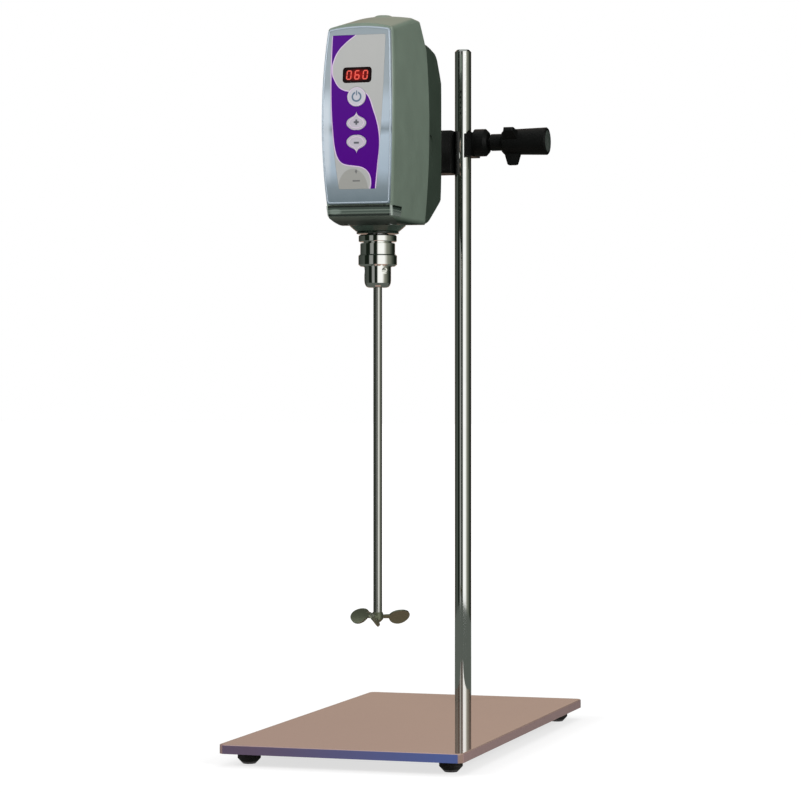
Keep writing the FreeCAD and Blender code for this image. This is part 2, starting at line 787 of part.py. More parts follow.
def front_shell():
    inner = shell_form(casing_wall)
    outer = shell_outside()
    shell = outer.cut(inner)
    grown = []
    for x, z in case_boss_places():
        grown.append(round_bar(V(x, seam_y - case_boss_length, z), V(0, 1, 0), case_boss_diameter / 2,
                               case_boss_length))
    for x, y in post_places():
        grown.append(round_bar(V(x, y, floor_z - 2), V(0, 0, 1), post_diameter / 2, gearbox_base + 2))
    for x, z in board_post_places():
        grown.append(round_bar(V(x, board_front() - 25, z), V(0, 1, 0), board_post_diameter / 2, 25))
    grown = [piece.common(outer) for piece in grown]
    shell = joined(shell, grown)
    cuts = [round_bar(V(axis_x, axis_y, floor_z - 10), V(0, 0, 1), neck_diameter / 2 + slide_clearance, 30)]
    ahead = axis_y - casing_front - 20
    reach = 30
    cuts.append(window_block(-window_ledge, ahead, reach + 5))
    stem = key_stem_diameter / 2 + key_stem_hole_clearance
    for rise in key_rises().values():
        cuts.append(round_bar(V(axis_x, ahead, floor_z + rise), V(0, 1, 0), stem, reach))
    for x, z in case_boss_places():
        cuts.append(round_bar(V(x, seam_y - case_screw_depth, z), V(0, 1, 0), case_screw_diameter / 2,
                              case_screw_depth))
    for x, y in post_places():
        cuts.append(round_bar(V(x, y, floor_z - 10), V(0, 0, 1), post_screw_diameter / 2, 30))
        cuts.append(round_bar(V(x, y, floor_z - 10), V(0, 0, 1), post_screw_head_diameter / 2 + 0.3,
                              post_seat(y) - floor_z + 10))
    for x, z in board_post_places():
        cuts.append(round_bar(V(x, board_front() - board_screw_bite, z), V(0, 1, 0),
                              board_screw_diameter / 2, board_screw_bite))
    cuts.append(round_bar(V(axis_x, axis_y + plug_back, floor_z + casing_top - 20), V(0, 0, 1),
                          plug_stem_diameter / 2, 40))
    return shell.cut(cuts)


def post_seat(y):
    """Height of the seat of a screw that is let into the sloping underside of the casing."""
    share = max((y - axis_y - sole_start()) / (casing_seam - 4 - sole_start()), 0)
    return floor_z + casing_sole + share * (casing_heel - casing_sole) + post_screw_recess


def rear_cover():
    outer = cover_form(0)
    inner = cover_form(casing_wall)
    shell = outer.cut(inner)
    bosses = []
    for x, z in case_boss_places():
        boss = round_bar(V(x, seam_y, z), V(0, 1, 0), case_boss_diameter / 2, casing_back)
        bosses.append(boss.common(outer))
    shell = joined(shell, bosses)
    cuts = grip_pockets()
    head = case_screw_head_diameter / 2 + 0.2
    for x, z in case_boss_places():
        cuts.append(round_bar(V(x, seam_y, z), V(0, 1, 0), case_screw_diameter / 2, casing_back))
        cuts.append(round_bar(V(x, seam_y + case_screw_seat, z), V(0, 1, 0), head, casing_back))
    for row in range(vent_count):
        z = floor_z + vent_start + row * vent_pitch
        cuts.append(box(axis_x - vent_width / 2, axis_x + vent_width / 2, axis_y + casing_seam + 12,
                        back_y + 5, z, z + vent_slot))
    for x, z in flange_screw_places():
        cuts.append(round_bar(V(x, back_y - 10, z), V(0, 1, 0), flange_screw_diameter / 2, 20))
    cuts.append(round_bar(V(axis_x, back_y - 20, floor_z + inlet_rise), V(0, 1, 0),
                          inlet_barrel_diameter / 2, 30))
    return shell.cut(cuts)


def case_screw(x, z):
    length = case_screw_seat + case_screw_depth
    return screw(V(x, seam_y + case_screw_seat, z), V(0, -1, 0), case_screw_diameter, length,
                 case_screw_head_diameter, case_screw_head_height)


def top_plug():
    z = floor_z + casing_top
    stem = plug_stem_diameter / 2
    low = -casing_crown
    profile = [(0, -casing_wall), (stem, -casing_wall), (stem, low), (plug_diameter / 2, low)]
    profile += [(plug_diameter / 2, low + 0.6), (plug_top_diameter / 2, plug_rise), (0, plug_rise)]
    return turned(profile, V(axis_x, axis_y + plug_back, z)).cut(shell_form(0))


# Front panel

def bezel_outline_block():
    low = floor_z + bezel_bottom
    high = floor_z + bezel_top - bezel_crown
    y = axis_y - casing_front - 20
    block = wire_prism(barrel_outline(low, high, bezel_margin, bezel_crown, y), V(0, casing_front, 0))
    block = rounded(block, V(0, 1, 0), bezel_corner_radius, lambda m: m.z > face_centre_z)
    return rounded(block, V(0, 1, 0), bezel_foot_radius, lambda m: m.z < face_centre_z)


def overlay_block(inset):
    """The overlay's outline: wide at the top, drawn in towards the bottom, with slightly bowed sides."""
    y = axis_y - casing_front - 20
    low = floor_z + overlay_bottom + inset
    high = floor_z + overlay_top - inset
    mid = floor_z + overlay_mid
    top_half = overlay_top_half - inset
    mid_half = overlay_mid_half - inset
    low_half = overlay_bottom_half - inset
    places = ((low_half, low), (mid_half, mid), (top_half, high))
    left = [V(axis_x - half, y, z) for half, z in places]
    right = [V(axis_x + half, y, z) for half, z in places]
    edges = [Part.Arc(*left).toShape(), Part.makeLine(left[2], right[2])]
    edges += [Part.Arc(*right).toShape(), Part.makeLine(left[0], right[0])]
    block = wire_prism(edges, V(0, 60, 0))
    return rounded(block, V(0, 1, 0), 1.2)


def leaf_prism(rise, up, grow):
    """A leaf-shaped key outline with one pointed end, as a prism from front to back."""
    y = axis_y - casing_front - 20
    z = floor_z + rise
    way = 1 if up else -1
    half = key_leaf_width / 2 + grow
    base = key_leaf_body / 2 + grow
    tip = key_leaf_tip + grow * 1.6

    def at(dx, dz):
        return V(axis_x + dx, y, z + way * dz)

    left = Part.BSplineCurve()
    left.interpolate([at(0, tip), at(-half * 0.3, base * 0.78), at(-half * 0.78, base * 0.42),
                      at(-half, -base * 0.12), at(-half * 0.66, -base * 0.8), at(0, -base)])
    right = Part.BSplineCurve()
    right.interpolate([at(0, tip), at(half * 0.3, base * 0.78), at(half * 0.78, base * 0.42),
                       at(half, -base * 0.12), at(half * 0.66, -base * 0.8), at(0, -base)])
    return wire_prism([left.toShape(), right.toShape()], V(0, 60, 0))


def key_prism(name, grow):
    """The outline of one key as a prism from front to back."""
    if name == "power":
        start = V(axis_x, axis_y - casing_front - 20, floor_z + key_power_rise)
        return round_bar(start, V(0, 1, 0), key_power_radius + grow, 60)
    if name == "up":
        return leaf_prism(key_up_rise, True, grow)
    return leaf_prism(key_down_rise, False, grow)


def between_drums(block, outer, inner):
    """The part of a front-to-back block that lies between two bowed faces."""
    return block.common(face_drum(outer)).cut(face_drum(inner))


def key_back_radius():
    return bezel_radius + key_cap_proud - key_cap_thickness


def bezel():
    body = between_drums(bezel_outline_block(), bezel_radius, casing_face_radius)
    recess = overlay_block(0).cut(face_drum(recess_radius))
    cuts = [recess]
    pocket_radius = key_back_radius() - key_travel - 0.05
    stem = key_stem_diameter / 2 + key_stem_hole_clearance
    ahead = axis_y - casing_front - 20
    for name, rise in key_rises().items():
        cuts.append(key_prism(name, key_clearance).cut(face_drum(pocket_radius)))
        cuts.append(round_bar(V(axis_x, ahead, floor_z + rise), V(0, 1, 0), stem, 40))
    seat_radius = recess_radius + overlay_recess - 0.1 - window_thickness
    cuts.append(window_block(0.05, ahead, 60).cut(face_drum(seat_radius)))
    cuts.append(window_block(-window_ledge, ahead, 60))
    return body.cut(cuts)


def chin_trim():
    """Glossy band below the bezel that wraps round the casing's front and part of both sides."""
    ahead = axis_y - casing_front - 20
    wrap = box(axis_x - casing_width, axis_x + casing_width, ahead, axis_y - chin_wrap,
               floor_z + chin_low, floor_z + chin_high)
    return tall_front(chin_proud, chin_thickness).common(wrap).cut(shell_outside())


def membrane_overlay():
    sheet = between_drums(overlay_block(overlay_gap), bezel_radius - 0.05, recess_radius)
    cuts = [key_prism(name, key_clearance) for name in key_rises()]
    cuts.append(window_block(0.05, axis_y - casing_front - 20, 60))
    return sheet.cut(cuts)


def display_window():
    outer = bezel_radius - 0.1
    block = window_block(-0.05, axis_y - casing_front - 20, 60)
    return between_drums(block, outer, outer - window_thickness)


def display_module():
    half = window_width / 2 - window_ledge - display_margin
    tall = window_height / 2 - window_ledge - display_margin
    z = floor_z + window_rise
    back = board_front()
    block = box(axis_x - half, axis_x + half, back - 30, back, z - tall, z + tall)
    return block.common(face_drum(bezel_radius - 0.2 - window_thickness))


def control_key(name):
    cap = between_drums(key_prism(name, 0), bezel_radius + key_cap_proud, key_back_radius())
    z = floor_z + key_rises()[name]
    stem_end = board_front() - switch_body - 1.0 - key_travel - 0.1
    front = face_y(z, key_back_radius()) - 0.5
    stem = round_bar(V(axis_x, front, z), V(0, 1, 0), key_stem_diameter / 2, stem_end - front)
    return joined(cap, [stem])


def control_board():
    y = board_front()
    board = box(axis_x - board_width / 2, axis_x + board_width / 2, y, y + board_thickness,
                floor_z + board_low, floor_z + board_high)
    board = rounded(board, V(0, 1, 0), 2)
    holes = [round_bar(V(x, y, z), V(0, 1, 0), board_screw_diameter / 2, board_thickness)
             for x, z in board_post_places()]
    return board.cut(holes)


def board_screw(x, z):
    seat = V(x, board_front() + board_thickness, z)
    return screw(seat, V(0, -1, 0), board_screw_diameter, board_thickness + board_screw_bite,
                 board_screw_head_diameter, board_screw_head_height)


def key_switch(rise):
    y = board_front()
    z = floor_z + rise
    half = switch_width / 2
    body = box(axis_x - half, axis_x + half, y - switch_body, y, z - half, z + half)
    plunger = round_bar(V(axis_x, y - switch_body - 1.0, z), V(0, 1, 0), switch_plunger_diameter / 2, 2.0)
    return joined(body, [plunger])


# Gearbox, motor and spindle

def egg(front_radius, rear_radius, z, height):
    """A block round the spindle axis and the motor axis, with straight tangent sides."""
    front = round_bar(V(axis_x, axis_y, z), V(0, 0, 1), front_radius, height)
    rear = round_bar(V(axis_x, pinion_y, z), V(0, 0, 1), rear_radius, height)
    span = pinion_y - axis_y
    lean = math.asin((front_radius - rear_radius) / span)
    fx, fy = front_radius * math.cos(lean), front_radius * math.sin(lean)
    rx, ry = rear_radius * math.cos(lean), rear_radius * math.sin(lean)
    outline = [V(axis_x - fx, axis_y + fy, z), V(axis_x + fx, axis_y + fy, z)]
    outline += [V(axis_x + rx, pinion_y + ry, z), V(axis_x - rx, pinion_y + ry, z)]
    return joined(front, [rear, prism(outline, V(0, 0, height))])


def gearbox_outline(z, height):
    body = egg(gear_cavity_radius + gearbox_wall, motor_diameter / 2, z, height)
    ear = round_bar(V(axis_x, axis_y - gear_cavity_radius - gearbox_wall - 2.5, z), V(0, 0, 1), 5, height)
    return joined(body, [ear])


def gearbox_screw_places():
    """Lid screws, as (x, y): one in the front ear and two beside the pinion."""
    side = motor_diameter / 2 - 5
    ear_y = axis_y - gear_cavity_radius - gearbox_wall - 2.5
    rear_y = pinion_y + pinion_cavity_radius - 3
    return [(axis_x, ear_y), (axis_x - side + 2, rear_y), (axis_x + side - 2, rear_y)]


def neck_screw_places():
    radius = (bearing_outer_diameter / 2 + neck_lip_diameter / 2) / 2 + 1.6
    return [polar(axis_x, axis_y, radius, angle) for angle in (90, 210, 330)]


def gearbox_housing():
    body = gearbox_outline(gearbox_z, gearbox_floor + gearbox_cavity)
    flange_x = post_spacing_x / 2 + 5
    flange = box(axis_x - flange_x, axis_x + flange_x, axis_y - post_front - 5, axis_y + post_rear + 5,
                 gearbox_z, gearbox_z + 4)
    flange = rounded(flange, V(0, 0, 1), 4)
    body = joined(body, [flange])
    up = V(0, 0, 1)
    cuts = [round_bar(V(axis_x, axis_y, cavity_z), up, gear_cavity_radius, gearbox_cavity)]
    cuts.append(round_bar(V(axis_x, pinion_y, cavity_z), up, pinion_cavity_radius, gearbox_cavity))
    pocket_z = cavity_z - bearing_width
    cuts.append(round_bar(V(axis_x, axis_y, pocket_z), up, bearing_outer_diameter / 2, bearing_width))
    cuts.append(round_bar(V(axis_x, axis_y, gearbox_z), up, bearing_outer_diameter / 2 - 2.5, gearbox_floor))
    for x, y in post_places():
        cuts.append(round_bar(V(x, y, gearbox_z), up, post_screw_diameter / 2, 4))
    for x, y in neck_screw_places():
        cuts.append(round_bar(V(x, y, gearbox_z), up, gearbox_screw_diameter / 2, gearbox_floor))
        cuts.append(round_bar(V(x, y, cavity_z - gearbox_screw_head_height), up,
                              gearbox_screw_head_diameter / 2, gearbox_screw_head_height))
    for x, y in gearbox_screw_places():
        cuts.append(round_bar(V(x, y, lid_z - gearbox_screw_bite), up, gearbox_screw_diameter / 2,
                              gearbox_screw_bite))
    return body.cut(cuts)


def gearbox_cover():
    body = gearbox_outline(lid_z, gearbox_lid)
    up = V(0, 0, 1)
    cuts = [round_bar(V(axis_x, axis_y, lid_z), up, bearing_outer_diameter / 2, bearing_width)]
    cuts.append(round_bar(V(axis_x, axis_y, lid_z), up, bearing_outer_diameter / 2 - 2.5, gearbox_lid))
    cuts.append(round_bar(V(axis_x, pinion_y, lid_z), up, bush_diameter / 2 + 0.5, gearbox_lid))
    for x, y in gearbox_screw_places():
        cuts.append(round_bar(V(x, y, lid_z), up, gearbox_screw_diameter / 2, gearbox_lid))
        if y > axis_y:
            cuts.append(round_bar(V(x, y, motor_z - gearbox_screw_head_height), up,
                                  gearbox_screw_head_diameter / 2, gearbox_screw_head_height))
    return body.cut(cuts)


def cover_screw(x, y):
    top = motor_z - (gearbox_screw_head_height if y > axis_y else 0)
    length = top - lid_z + gearbox_screw_bite
    return screw(V(x, y, top), V(0, 0, -1), gearbox_screw_diameter, length,
                 gearbox_screw_head_diameter, gearbox_screw_head_height)


def neck_screw(x, y):
    seat = cavity_z - gearbox_screw_head_height
    length = seat - gearbox_z + gearbox_screw_bite - 2
    return screw(V(x, y, seat), V(0, 0, -1), gearbox_screw_diameter, length,
                 gearbox_screw_head_diameter, gearbox_screw_head_height)


def post_screw(x, y):
    seat = post_seat(y)
    length = gearbox_z + 4 - seat
    return screw(V(x, y, seat), V(0, 0, 1), post_screw_diameter, length,
                 post_screw_head_diameter, post_screw_head_height)


def neck():
    outer = neck_diameter / 2
    lip = neck_lip_diameter / 2
    bore = neck_bore_diameter / 2
    mouth = neck_mouth_diameter / 2
    top = gearbox_z - floor_z
    straight = neck_straight
    low = -neck_drop
    seat = low + neck_lip_height + 2.6
    profile = [(mouth, low), (lip - 0.6, low), (lip, low + 0.6), (lip, low + neck_lip_height)]
    profile += [(lip - 1.0, low + neck_lip_height + 0.3), (lip + 0.4, low + neck_lip_height + 0.9)]
    profile += [(outer, straight), (outer, top), (bore, top), (bore, seat), (mouth, seat)]
    body = turned(profile, V(axis_x, axis_y, floor_z))
    depth = gearbox_screw_bite - 2
    holes = [round_bar(V(x, y, gearbox_z - depth), V(0, 0, 1), gearbox_screw_diameter / 2, depth)
             for x, y in neck_screw_places()]
    return body.cut(holes)


def shaft_seal():
    seat = neck_bottom + neck_lip_height + 2.6
    return ring(V(axis_x, axis_y, seat), V(0, 0, 1), neck_bore_diameter / 2,
                spindle_diameter / 2 + slide_clearance, seal_thickness)


def bearing_levels():
    return (cavity_z - bearing_width, lid_z)


def bearing_outer(z):
    """Outer ring with its two shields, which reach in almost to the inner ring."""
    outer = bearing_outer_diameter / 2
    race = outer - 2.0
    shield = bearing_inner_land / 2 + bearing_shield_gap
    profile = [(shield, 0), (outer, 0), (outer, bearing_width), (shield, bearing_width)]
    profile += [(shield, bearing_width - 0.5), (race, bearing_width - 0.5), (race, 0.5), (shield, 0.5)]
    return turned(profile, V(axis_x, axis_y, z))


def bearing_inner(z):
    return ring(V(axis_x, axis_y, z), V(0, 0, 1), bearing_inner_land / 2, spindle_diameter / 2,
                bearing_width)


def spindle():
    """Output shaft with the shoulder that seats the chuck and the nose that screws into it."""
    top = lid_z + gearbox_lid - spindle_top_play
    radius = spindle_diameter / 2
    nose = spindle_nose_diameter / 2
    shoulder = spindle_shoulder_diameter / 2
    profile = [(0, chuck_top - spindle_nose_length), (nose - 0.8, chuck_top - spindle_nose_length)]
    profile += [(nose, chuck_top - spindle_nose_length + 0.8), (nose, chuck_top), (shoulder, chuck_top)]
    seat = chuck_top + spindle_shoulder_height
    profile += [(shoulder, seat), (radius, seat)]
    profile += [(radius, top - 0.6), (radius - 0.6, top), (0, top)]
    return turned(profile, V(axis_x, axis_y, 0))


def involute_gear(teeth, width, phase, origin, bore, hub_radius, hub_low, hub_high):
    """Spur gear with involute flanks of 20 degrees pressure angle, thinned by half the backlash."""
    pitch = gear_module * teeth / 2
    base = pitch * math.cos(math.radians(20))
    tip = pitch + gear_module
    root = pitch - 1.25 * gear_module
    spread = math.tan(math.radians(20)) - math.radians(20)
    half_tooth = math.pi / (2 * teeth) - gear_backlash / (4 * pitch) + spread
    start = max(base, root + 0.02)
    flank = []
    for step in range(4):
        radius = start + (tip - start) * step / 3
        roll = math.sqrt(max((radius / base) ** 2 - 1, 0))
        flank.append((radius, half_tooth - (roll - math.atan(roll))))
    points = []
    for tooth in range(teeth):
        middle = math.radians(phase) + 2 * math.pi * tooth / teeth
        side = [(root, flank[0][1])] + flank
        outline = [(radius, middle - angle) for radius, angle in side]
        outline += [(radius, middle + angle) for radius, angle in reversed(side)]
        points += [V(origin.x + r * math.cos(a), origin.y + r * math.sin(a), origin.z) for r, a in outline]
    body = prism(points, V(0, 0, width))
    hub = round_bar(V(origin.x, origin.y, hub_low), V(0, 0, 1), hub_radius, hub_high - hub_low)
    hole = round_bar(V(origin.x, origin.y, hub_low - 1), V(0, 0, 1), bore, hub_high - hub_low + 2)
    return body.fuse(hub).cut(hole)


def spindle_gear():
    origin = V(axis_x, axis_y, gear_z)
    gear = involute_gear(spindle_gear_teeth, gear_width, 90, origin, spindle_diameter / 2,
                         spindle_shoulder_diameter / 2 - 0.4, cavity_z, lid_z)
    web_radius = gear_pitch_radius - 4.5
    hub = spindle_shoulder_diameter / 2 + 2
    recess = ring(V(axis_x, axis_y, gear_z + gear_width - 2.5), V(0, 0, 1), web_radius, hub, 2.5)
    return gear.cut(recess)


def motor_pinion():
    phase = -90 + 180 / pinion_teeth
    low = gear_z - (pinion_width - gear_width) / 2
    origin = V(axis_x, pinion_y, low)
    return involute_gear(pinion_teeth, pinion_width, phase, origin, motor_shaft_diameter / 2,
                         pinion_pitch_radius - 2.5, low, low + pinion_width + 1)


def motor_can():
    outer = motor_diameter / 2
    inner = outer - motor_wall
    bush = bush_diameter / 2
    profile = [(bush, 0), (outer - 1, 0), (outer, 1), (outer, motor_length - motor_end_wall)]
    profile += [(inner, motor_length - motor_end_wall), (inner, motor_end_wall), (bush, motor_end_wall)]
    return turned(profile, V(axis_x, pinion_y, motor_z))


def motor_end_cap():
    outer = motor_diameter / 2
    bush = bush_diameter / 2
    profile = [(bush, 0), (outer, 0), (outer, motor_end_wall - 1), (outer - 1, motor_end_wall)]
    profile += [(bush + 3, motor_end_wall), (bush + 3, motor_end_wall + 2), (bush, motor_end_wall + 2)]
    return turned(profile, V(axis_x, pinion_y, motor_z + motor_length - motor_end_wall))


def motor_bush(z):
    return ring(V(axis_x, pinion_y, z), V(0, 0, 1), bush_diameter / 2,
                motor_shaft_diameter / 2 + slide_clearance, bush_length)


def motor_magnet():
    z = motor_z + (motor_length - magnet_length) / 2
    return ring(V(axis_x, pinion_y, z), V(0, 0, 1), motor_diameter / 2 - motor_wall,
                magnet_inner_diameter / 2, magnet_length)


def motor_rotor():
    radius = motor_shaft_diameter / 2
    core = rotor_diameter / 2
    low = gear_z - (pinion_width - gear_width) / 2 - motor_z
    core_low = (motor_length - rotor_length) / 2
    core_high = core_low + rotor_length
    top = motor_length + 1.0
    profile = [(0, low), (radius, low), (radius, core_low), (core, core_low), (core, core_high)]
    profile += [(radius, core_high), (radius, top), (0, top)]
    body = turned(profile, V(axis_x, pinion_y, motor_z))
    slots = []
    for k in range(8):
        angle = 45 * k
        x, y = polar(0, 0, core, angle)
        slot = box(-1, 1, -1, 1, core_low, core_high)
        slot.rotate(V(0, 0, 0), V(0, 0, 1), angle)
        slot.translate(V(axis_x + x, pinion_y + y, motor_z))
        slots.append(slot)
    return body.cut(slots)


# Arm and rear fittings

def flange_screw_places():
    places = []
    for k in range(flange_screw_count):
        x, z = polar(arm_x, arm_z, flange_screw_circle / 2, 45 + 360 / flange_screw_count * k)
        places.append((x, z))
    return places


def support_arm():
    """Round arm with a flange that is screwed to the back of the head."""
    end = rod_y + boss_half_depth + arm_end_overhang
    length = end - back_y
    flange = flange_diameter / 2
    profile = [(0, 0), (flange, 0), (flange, flange_thickness - 1), (flange - 1, flange_thickness)]
    profile += [(arm_radius + 2, flange_thickness), (arm_radius, flange_thickness + 3)]
    profile += [(arm_radius, length - 1.5), (arm_radius - 1.5, length), (0, length)]
    arm = turned(profile, V(arm_x, back_y, arm_z), V(0, 1, 0))
    holes = [round_bar(V(x, back_y, z), V(0, 1, 0), flange_screw_diameter / 2, flange_thickness)
             for x, z in flange_screw_places()]
    return arm.cut(holes)


def backing_plate():
    """Steel plate inside the rear cover that the arm screws bite into."""
    radius = flange_diameter / 2
    y = back_y - casing_wall - backing_thickness
    plate = round_bar(V(arm_x, y, arm_z), V(0, 1, 0), radius, backing_thickness)
    holes = [round_bar(V(x, y, z), V(0, 1, 0), flange_screw_diameter / 2, backing_thickness)
             for x, z in flange_screw_places()]
    return plate.cut(holes)


def arm_screw(x, z):
    length = flange_thickness + casing_wall + backing_thickness
    return screw(V(x, back_y + flange_thickness, z), V(0, -1, 0), flange_screw_diameter, length,
                 flange_screw_head_diameter, flange_screw_head_height)


def power_inlet():
    """Low-voltage socket: collar outside the cover and a barrel that runs in through it."""
    collar = inlet_collar_diameter / 2
    barrel = inlet_barrel_diameter / 2
    socket = inlet_socket_diameter / 2
    inner = -inlet_length
    profile = [(0, inner), (barrel, inner), (barrel, 0), (collar, 0)]
    profile += [(collar, inlet_collar_height - 0.6), (collar - 0.6, inlet_collar_height)]
    profile += [(socket, inlet_collar_height), (socket, inner + 2), (0, inner + 2)]
    return turned(profile, V(axis_x, back_y, floor_z + inlet_rise), V(0, 1, 0))


def inlet_pin():
    start = V(axis_x, back_y - inlet_length + 2, floor_z + inlet_rise)
    return round_bar(start, V(0, 1, 0), inlet_pin_diameter / 2, inlet_length - 2)


def inlet_nut():
    y = back_y - casing_wall - inlet_nut_thickness
    corner = inlet_collar_diameter / math.sqrt(3)
    centre = V(axis_x, 0, floor_z + inlet_rise)
    outline = []
    for k in range(6):
        x, z = polar(centre.x, centre.z, corner, 60 * k)
        outline.append(V(x, y, z))
    nut = prism(outline, V(0, inlet_nut_thickness, 0))
    return nut.cut(round_bar(V(centre.x, y, centre.z), V(0, 1, 0), inlet_barrel_diameter / 2,
                             inlet_nut_thickness))


# Chuck

def jaw_angles():
    return [key_hole_angle + 60 + 360 / jaw_count * k for k in range(jaw_count)]


def jaw_bar(angle, radius, low, high):
    """A slanted bar through the chuck, leaning out as it rises, between two heights."""
    tilt = math.radians(jaw_tilt)
    foot = jaw_tip_offset - 10 * math.tan(tilt)
    x, y = polar(axis_x, axis_y, foot, angle)
    lean_x, lean_y = polar(0, 0, math.sin(tilt), angle)
    direction = V(lean_x, lean_y, math.cos(tilt))
    bar = round_bar(V(x, y, nose_bottom - 10), direction, radius, 60)
    reach = sleeve_band_diameter
    slab = box(axis_x - reach, axis_x + reach, axis_y - reach, axis_y + reach, low, high)
    return bar.common(slab)


def chuck_body():
    """Cap above the sleeve, core inside it and the rounded nose below, bored for jaws, shaft and key."""
    cap = chuck_cap_diameter / 2
    core = chuck_core_diameter / 2
    nose = nose_diameter / 2
    tip = nose_tip_diameter / 2
    cap_low = chuck_top - chuck_cap_height
    arc_steps = 4
    profile = [(0, chuck_top), (0, nose_bottom), (tip, nose_bottom)]
    for step in range(1, arc_steps + 1):
        turn = math.pi / 2 * step / arc_steps
        radius = tip + (nose - tip) * math.sin(turn)
        profile.append((radius, nose_bottom + nose_round * (1 - math.cos(turn))))
    profile += [(nose, sleeve_bottom - 0.4), (core, sleeve_bottom - 0.4), (core, cap_low)]
    profile += [(cap - 0.6, cap_low), (cap, cap_low + 0.6), (cap, chuck_top - 1.0), (cap - 1.0, chuck_top)]
    body = turned(list(reversed(profile)), V(axis_x, axis_y, 0))
    up = V(0, 0, 1)
    cuts = [round_bar(V(axis_x, axis_y, nose_bottom - 1), up, chuck_bore_diameter / 2,
                      shaft_engagement + 3)]
    cuts.append(round_bar(V(axis_x, axis_y, chuck_top - spindle_nose_length), up, spindle_nose_diameter / 2,
                          spindle_nose_length))
    bore_top = sleeve_bottom + sleeve_relief_floor + sleeve_relief_height
    for angle in jaw_angles():
        cuts.append(jaw_bar(angle, jaw_diameter / 2 + jaw_clearance, nose_bottom - 1, bore_top))
        x, y = polar(axis_x, axis_y, nose, angle - 60)
        back_x, back_y_way = polar(0, 0, -1, angle - 60)
        cuts.append(round_bar(V(x, y, sleeve_bottom - key_hole_drop), V(back_x, back_y_way, 0),
                              key_hole_diameter / 2, key_hole_depth))
    return body.cut(cuts)


def chuck_sleeve():
    """Sleeve that turns on the chuck's core, with a waist, a band and a ring of key teeth below."""
    waist = sleeve_waist_diameter / 2
    band = sleeve_band_diameter / 2
    core = chuck_core_diameter / 2 + slide_clearance
    relief = sleeve_relief_diameter / 2
    low = sleeve_bottom
    relief_low = low + sleeve_relief_floor
    relief_high = relief_low + sleeve_relief_height
    waist_low = sleeve_top - sleeve_waist_height
    profile = [(core, low), (band - 2.0, low), (band, low + 1.6), (band, waist_low - 1.2)]
    profile += [(band - 1.0, waist_low), (waist, waist_low), (waist, sleeve_top - 0.6)]
    profile += [(waist - 0.6, sleeve_top), (core, sleeve_top), (core, relief_high), (relief, relief_high)]
    profile += [(relief, relief_low), (core, relief_low)]
    body = turned(profile, V(axis_x, axis_y, 0))
    notches = []
    width = math.pi * band / sleeve_tooth_count / 2
    for k in range(sleeve_tooth_count):
        notch = prism([V(core + 1.5, -width, -0.1), V(core + 1.5, width, -0.1),
                       V(core + 1.5, 0, sleeve_tooth_depth)], V(band, 0, 0))
        notch.rotate(V(0, 0, 0), V(0, 0, 1), 360 / sleeve_tooth_count * k)
        notch.translate(V(axis_x, axis_y, low))
        notches.append(notch)
    return body.cut(notches)


def chuck_jaw(angle):
    """Slanted jaw whose inner side is cut to the shaft it grips."""
    low = nose_bottom + 0.3
    jaw = jaw_bar(angle, jaw_diameter / 2, low, low + jaw_height)
    grip = round_bar(V(axis_x, axis_y, nose_bottom - 1), V(0, 0, 1), shaft_diameter / 2 + jaw_grip_clearance,
                     jaw_height + 5)
    return jaw.cut(grip)


# Stirrer

def stirring_shaft():
    radius = shaft_diameter / 2
    low = shaft_bottom + hub_height * 0.4
    profile = [(0, low), (radius, low), (radius, shaft_top - 1), (radius - 1, shaft_top), (0, shaft_top)]
    return turned(profile, V(axis_x, axis_y, 0))


def blade():
    """One cambered oval blade with a narrow neck, reaching along +X from the hub before it is pitched."""
    middle = blade_reach - blade_length / 2
    oval = Part.Ellipse(V(0, 0, 0), blade_length / 2, blade_chord / 2)
    sheet = Part.Face(Part.Wire(oval.toShape())).extrude(V(0, 0, 30))
    sheet.translate(V(middle, 0, -15))
    half = blade_neck_width / 2
    root = hub_diameter / 2 - 1.5
    neck_end = blade_reach - blade_length + 4
    neck_piece = prism([V(root, -half * 0.8, -15), V(neck_end, -half, -15), V(neck_end + 3, -half * 1.8, -15),
                        V(neck_end + 3, half * 1.8, -15), V(neck_end, half, -15), V(root, half * 0.8, -15)],
                       V(0, 0, 30))
    outline = sheet.fuse(neck_piece)
    sheet_low = blade_camber_radius - blade_thickness / 2
    camber = ring(V(-5, 0, -blade_camber_radius), V(1, 0, 0), sheet_low + blade_thickness, sheet_low,
                  blade_reach + 10)
    leaf = outline.common(camber)
    leaf.rotate(V(0, 0, 0), V(1, 0, 0), -blade_pitch)
    return leaf


def propeller():
    outer = hub_diameter / 2
    shaft = shaft_diameter / 2
    profile = [(0, 0), (outer - 2.5, 0), (outer, 2.5), (outer, hub_height - 0.8), (outer - 0.8, hub_height)]
    profile += [(shaft, hub_height), (shaft, hub_height * 0.4), (0, hub_height * 0.4)]
    hub = turned(profile, V(axis_x, axis_y, shaft_bottom))
    leaves = []
    socket = round_bar(V(axis_x, axis_y, shaft_bottom + hub_height * 0.4), V(0, 0, 1), shaft, hub_height)
    for k in range(blade_count):
        leaf = blade()
        leaf.rotate(V(0, 0, 0), V(0, 0, 1), blade_first_angle + 360 / blade_count * k)
        leaf.translate(V(axis_x, axis_y, shaft_bottom + hub_height * 0.55))
        leaves.append(leaf)
    return joined(hub, leaves).cut(socket)


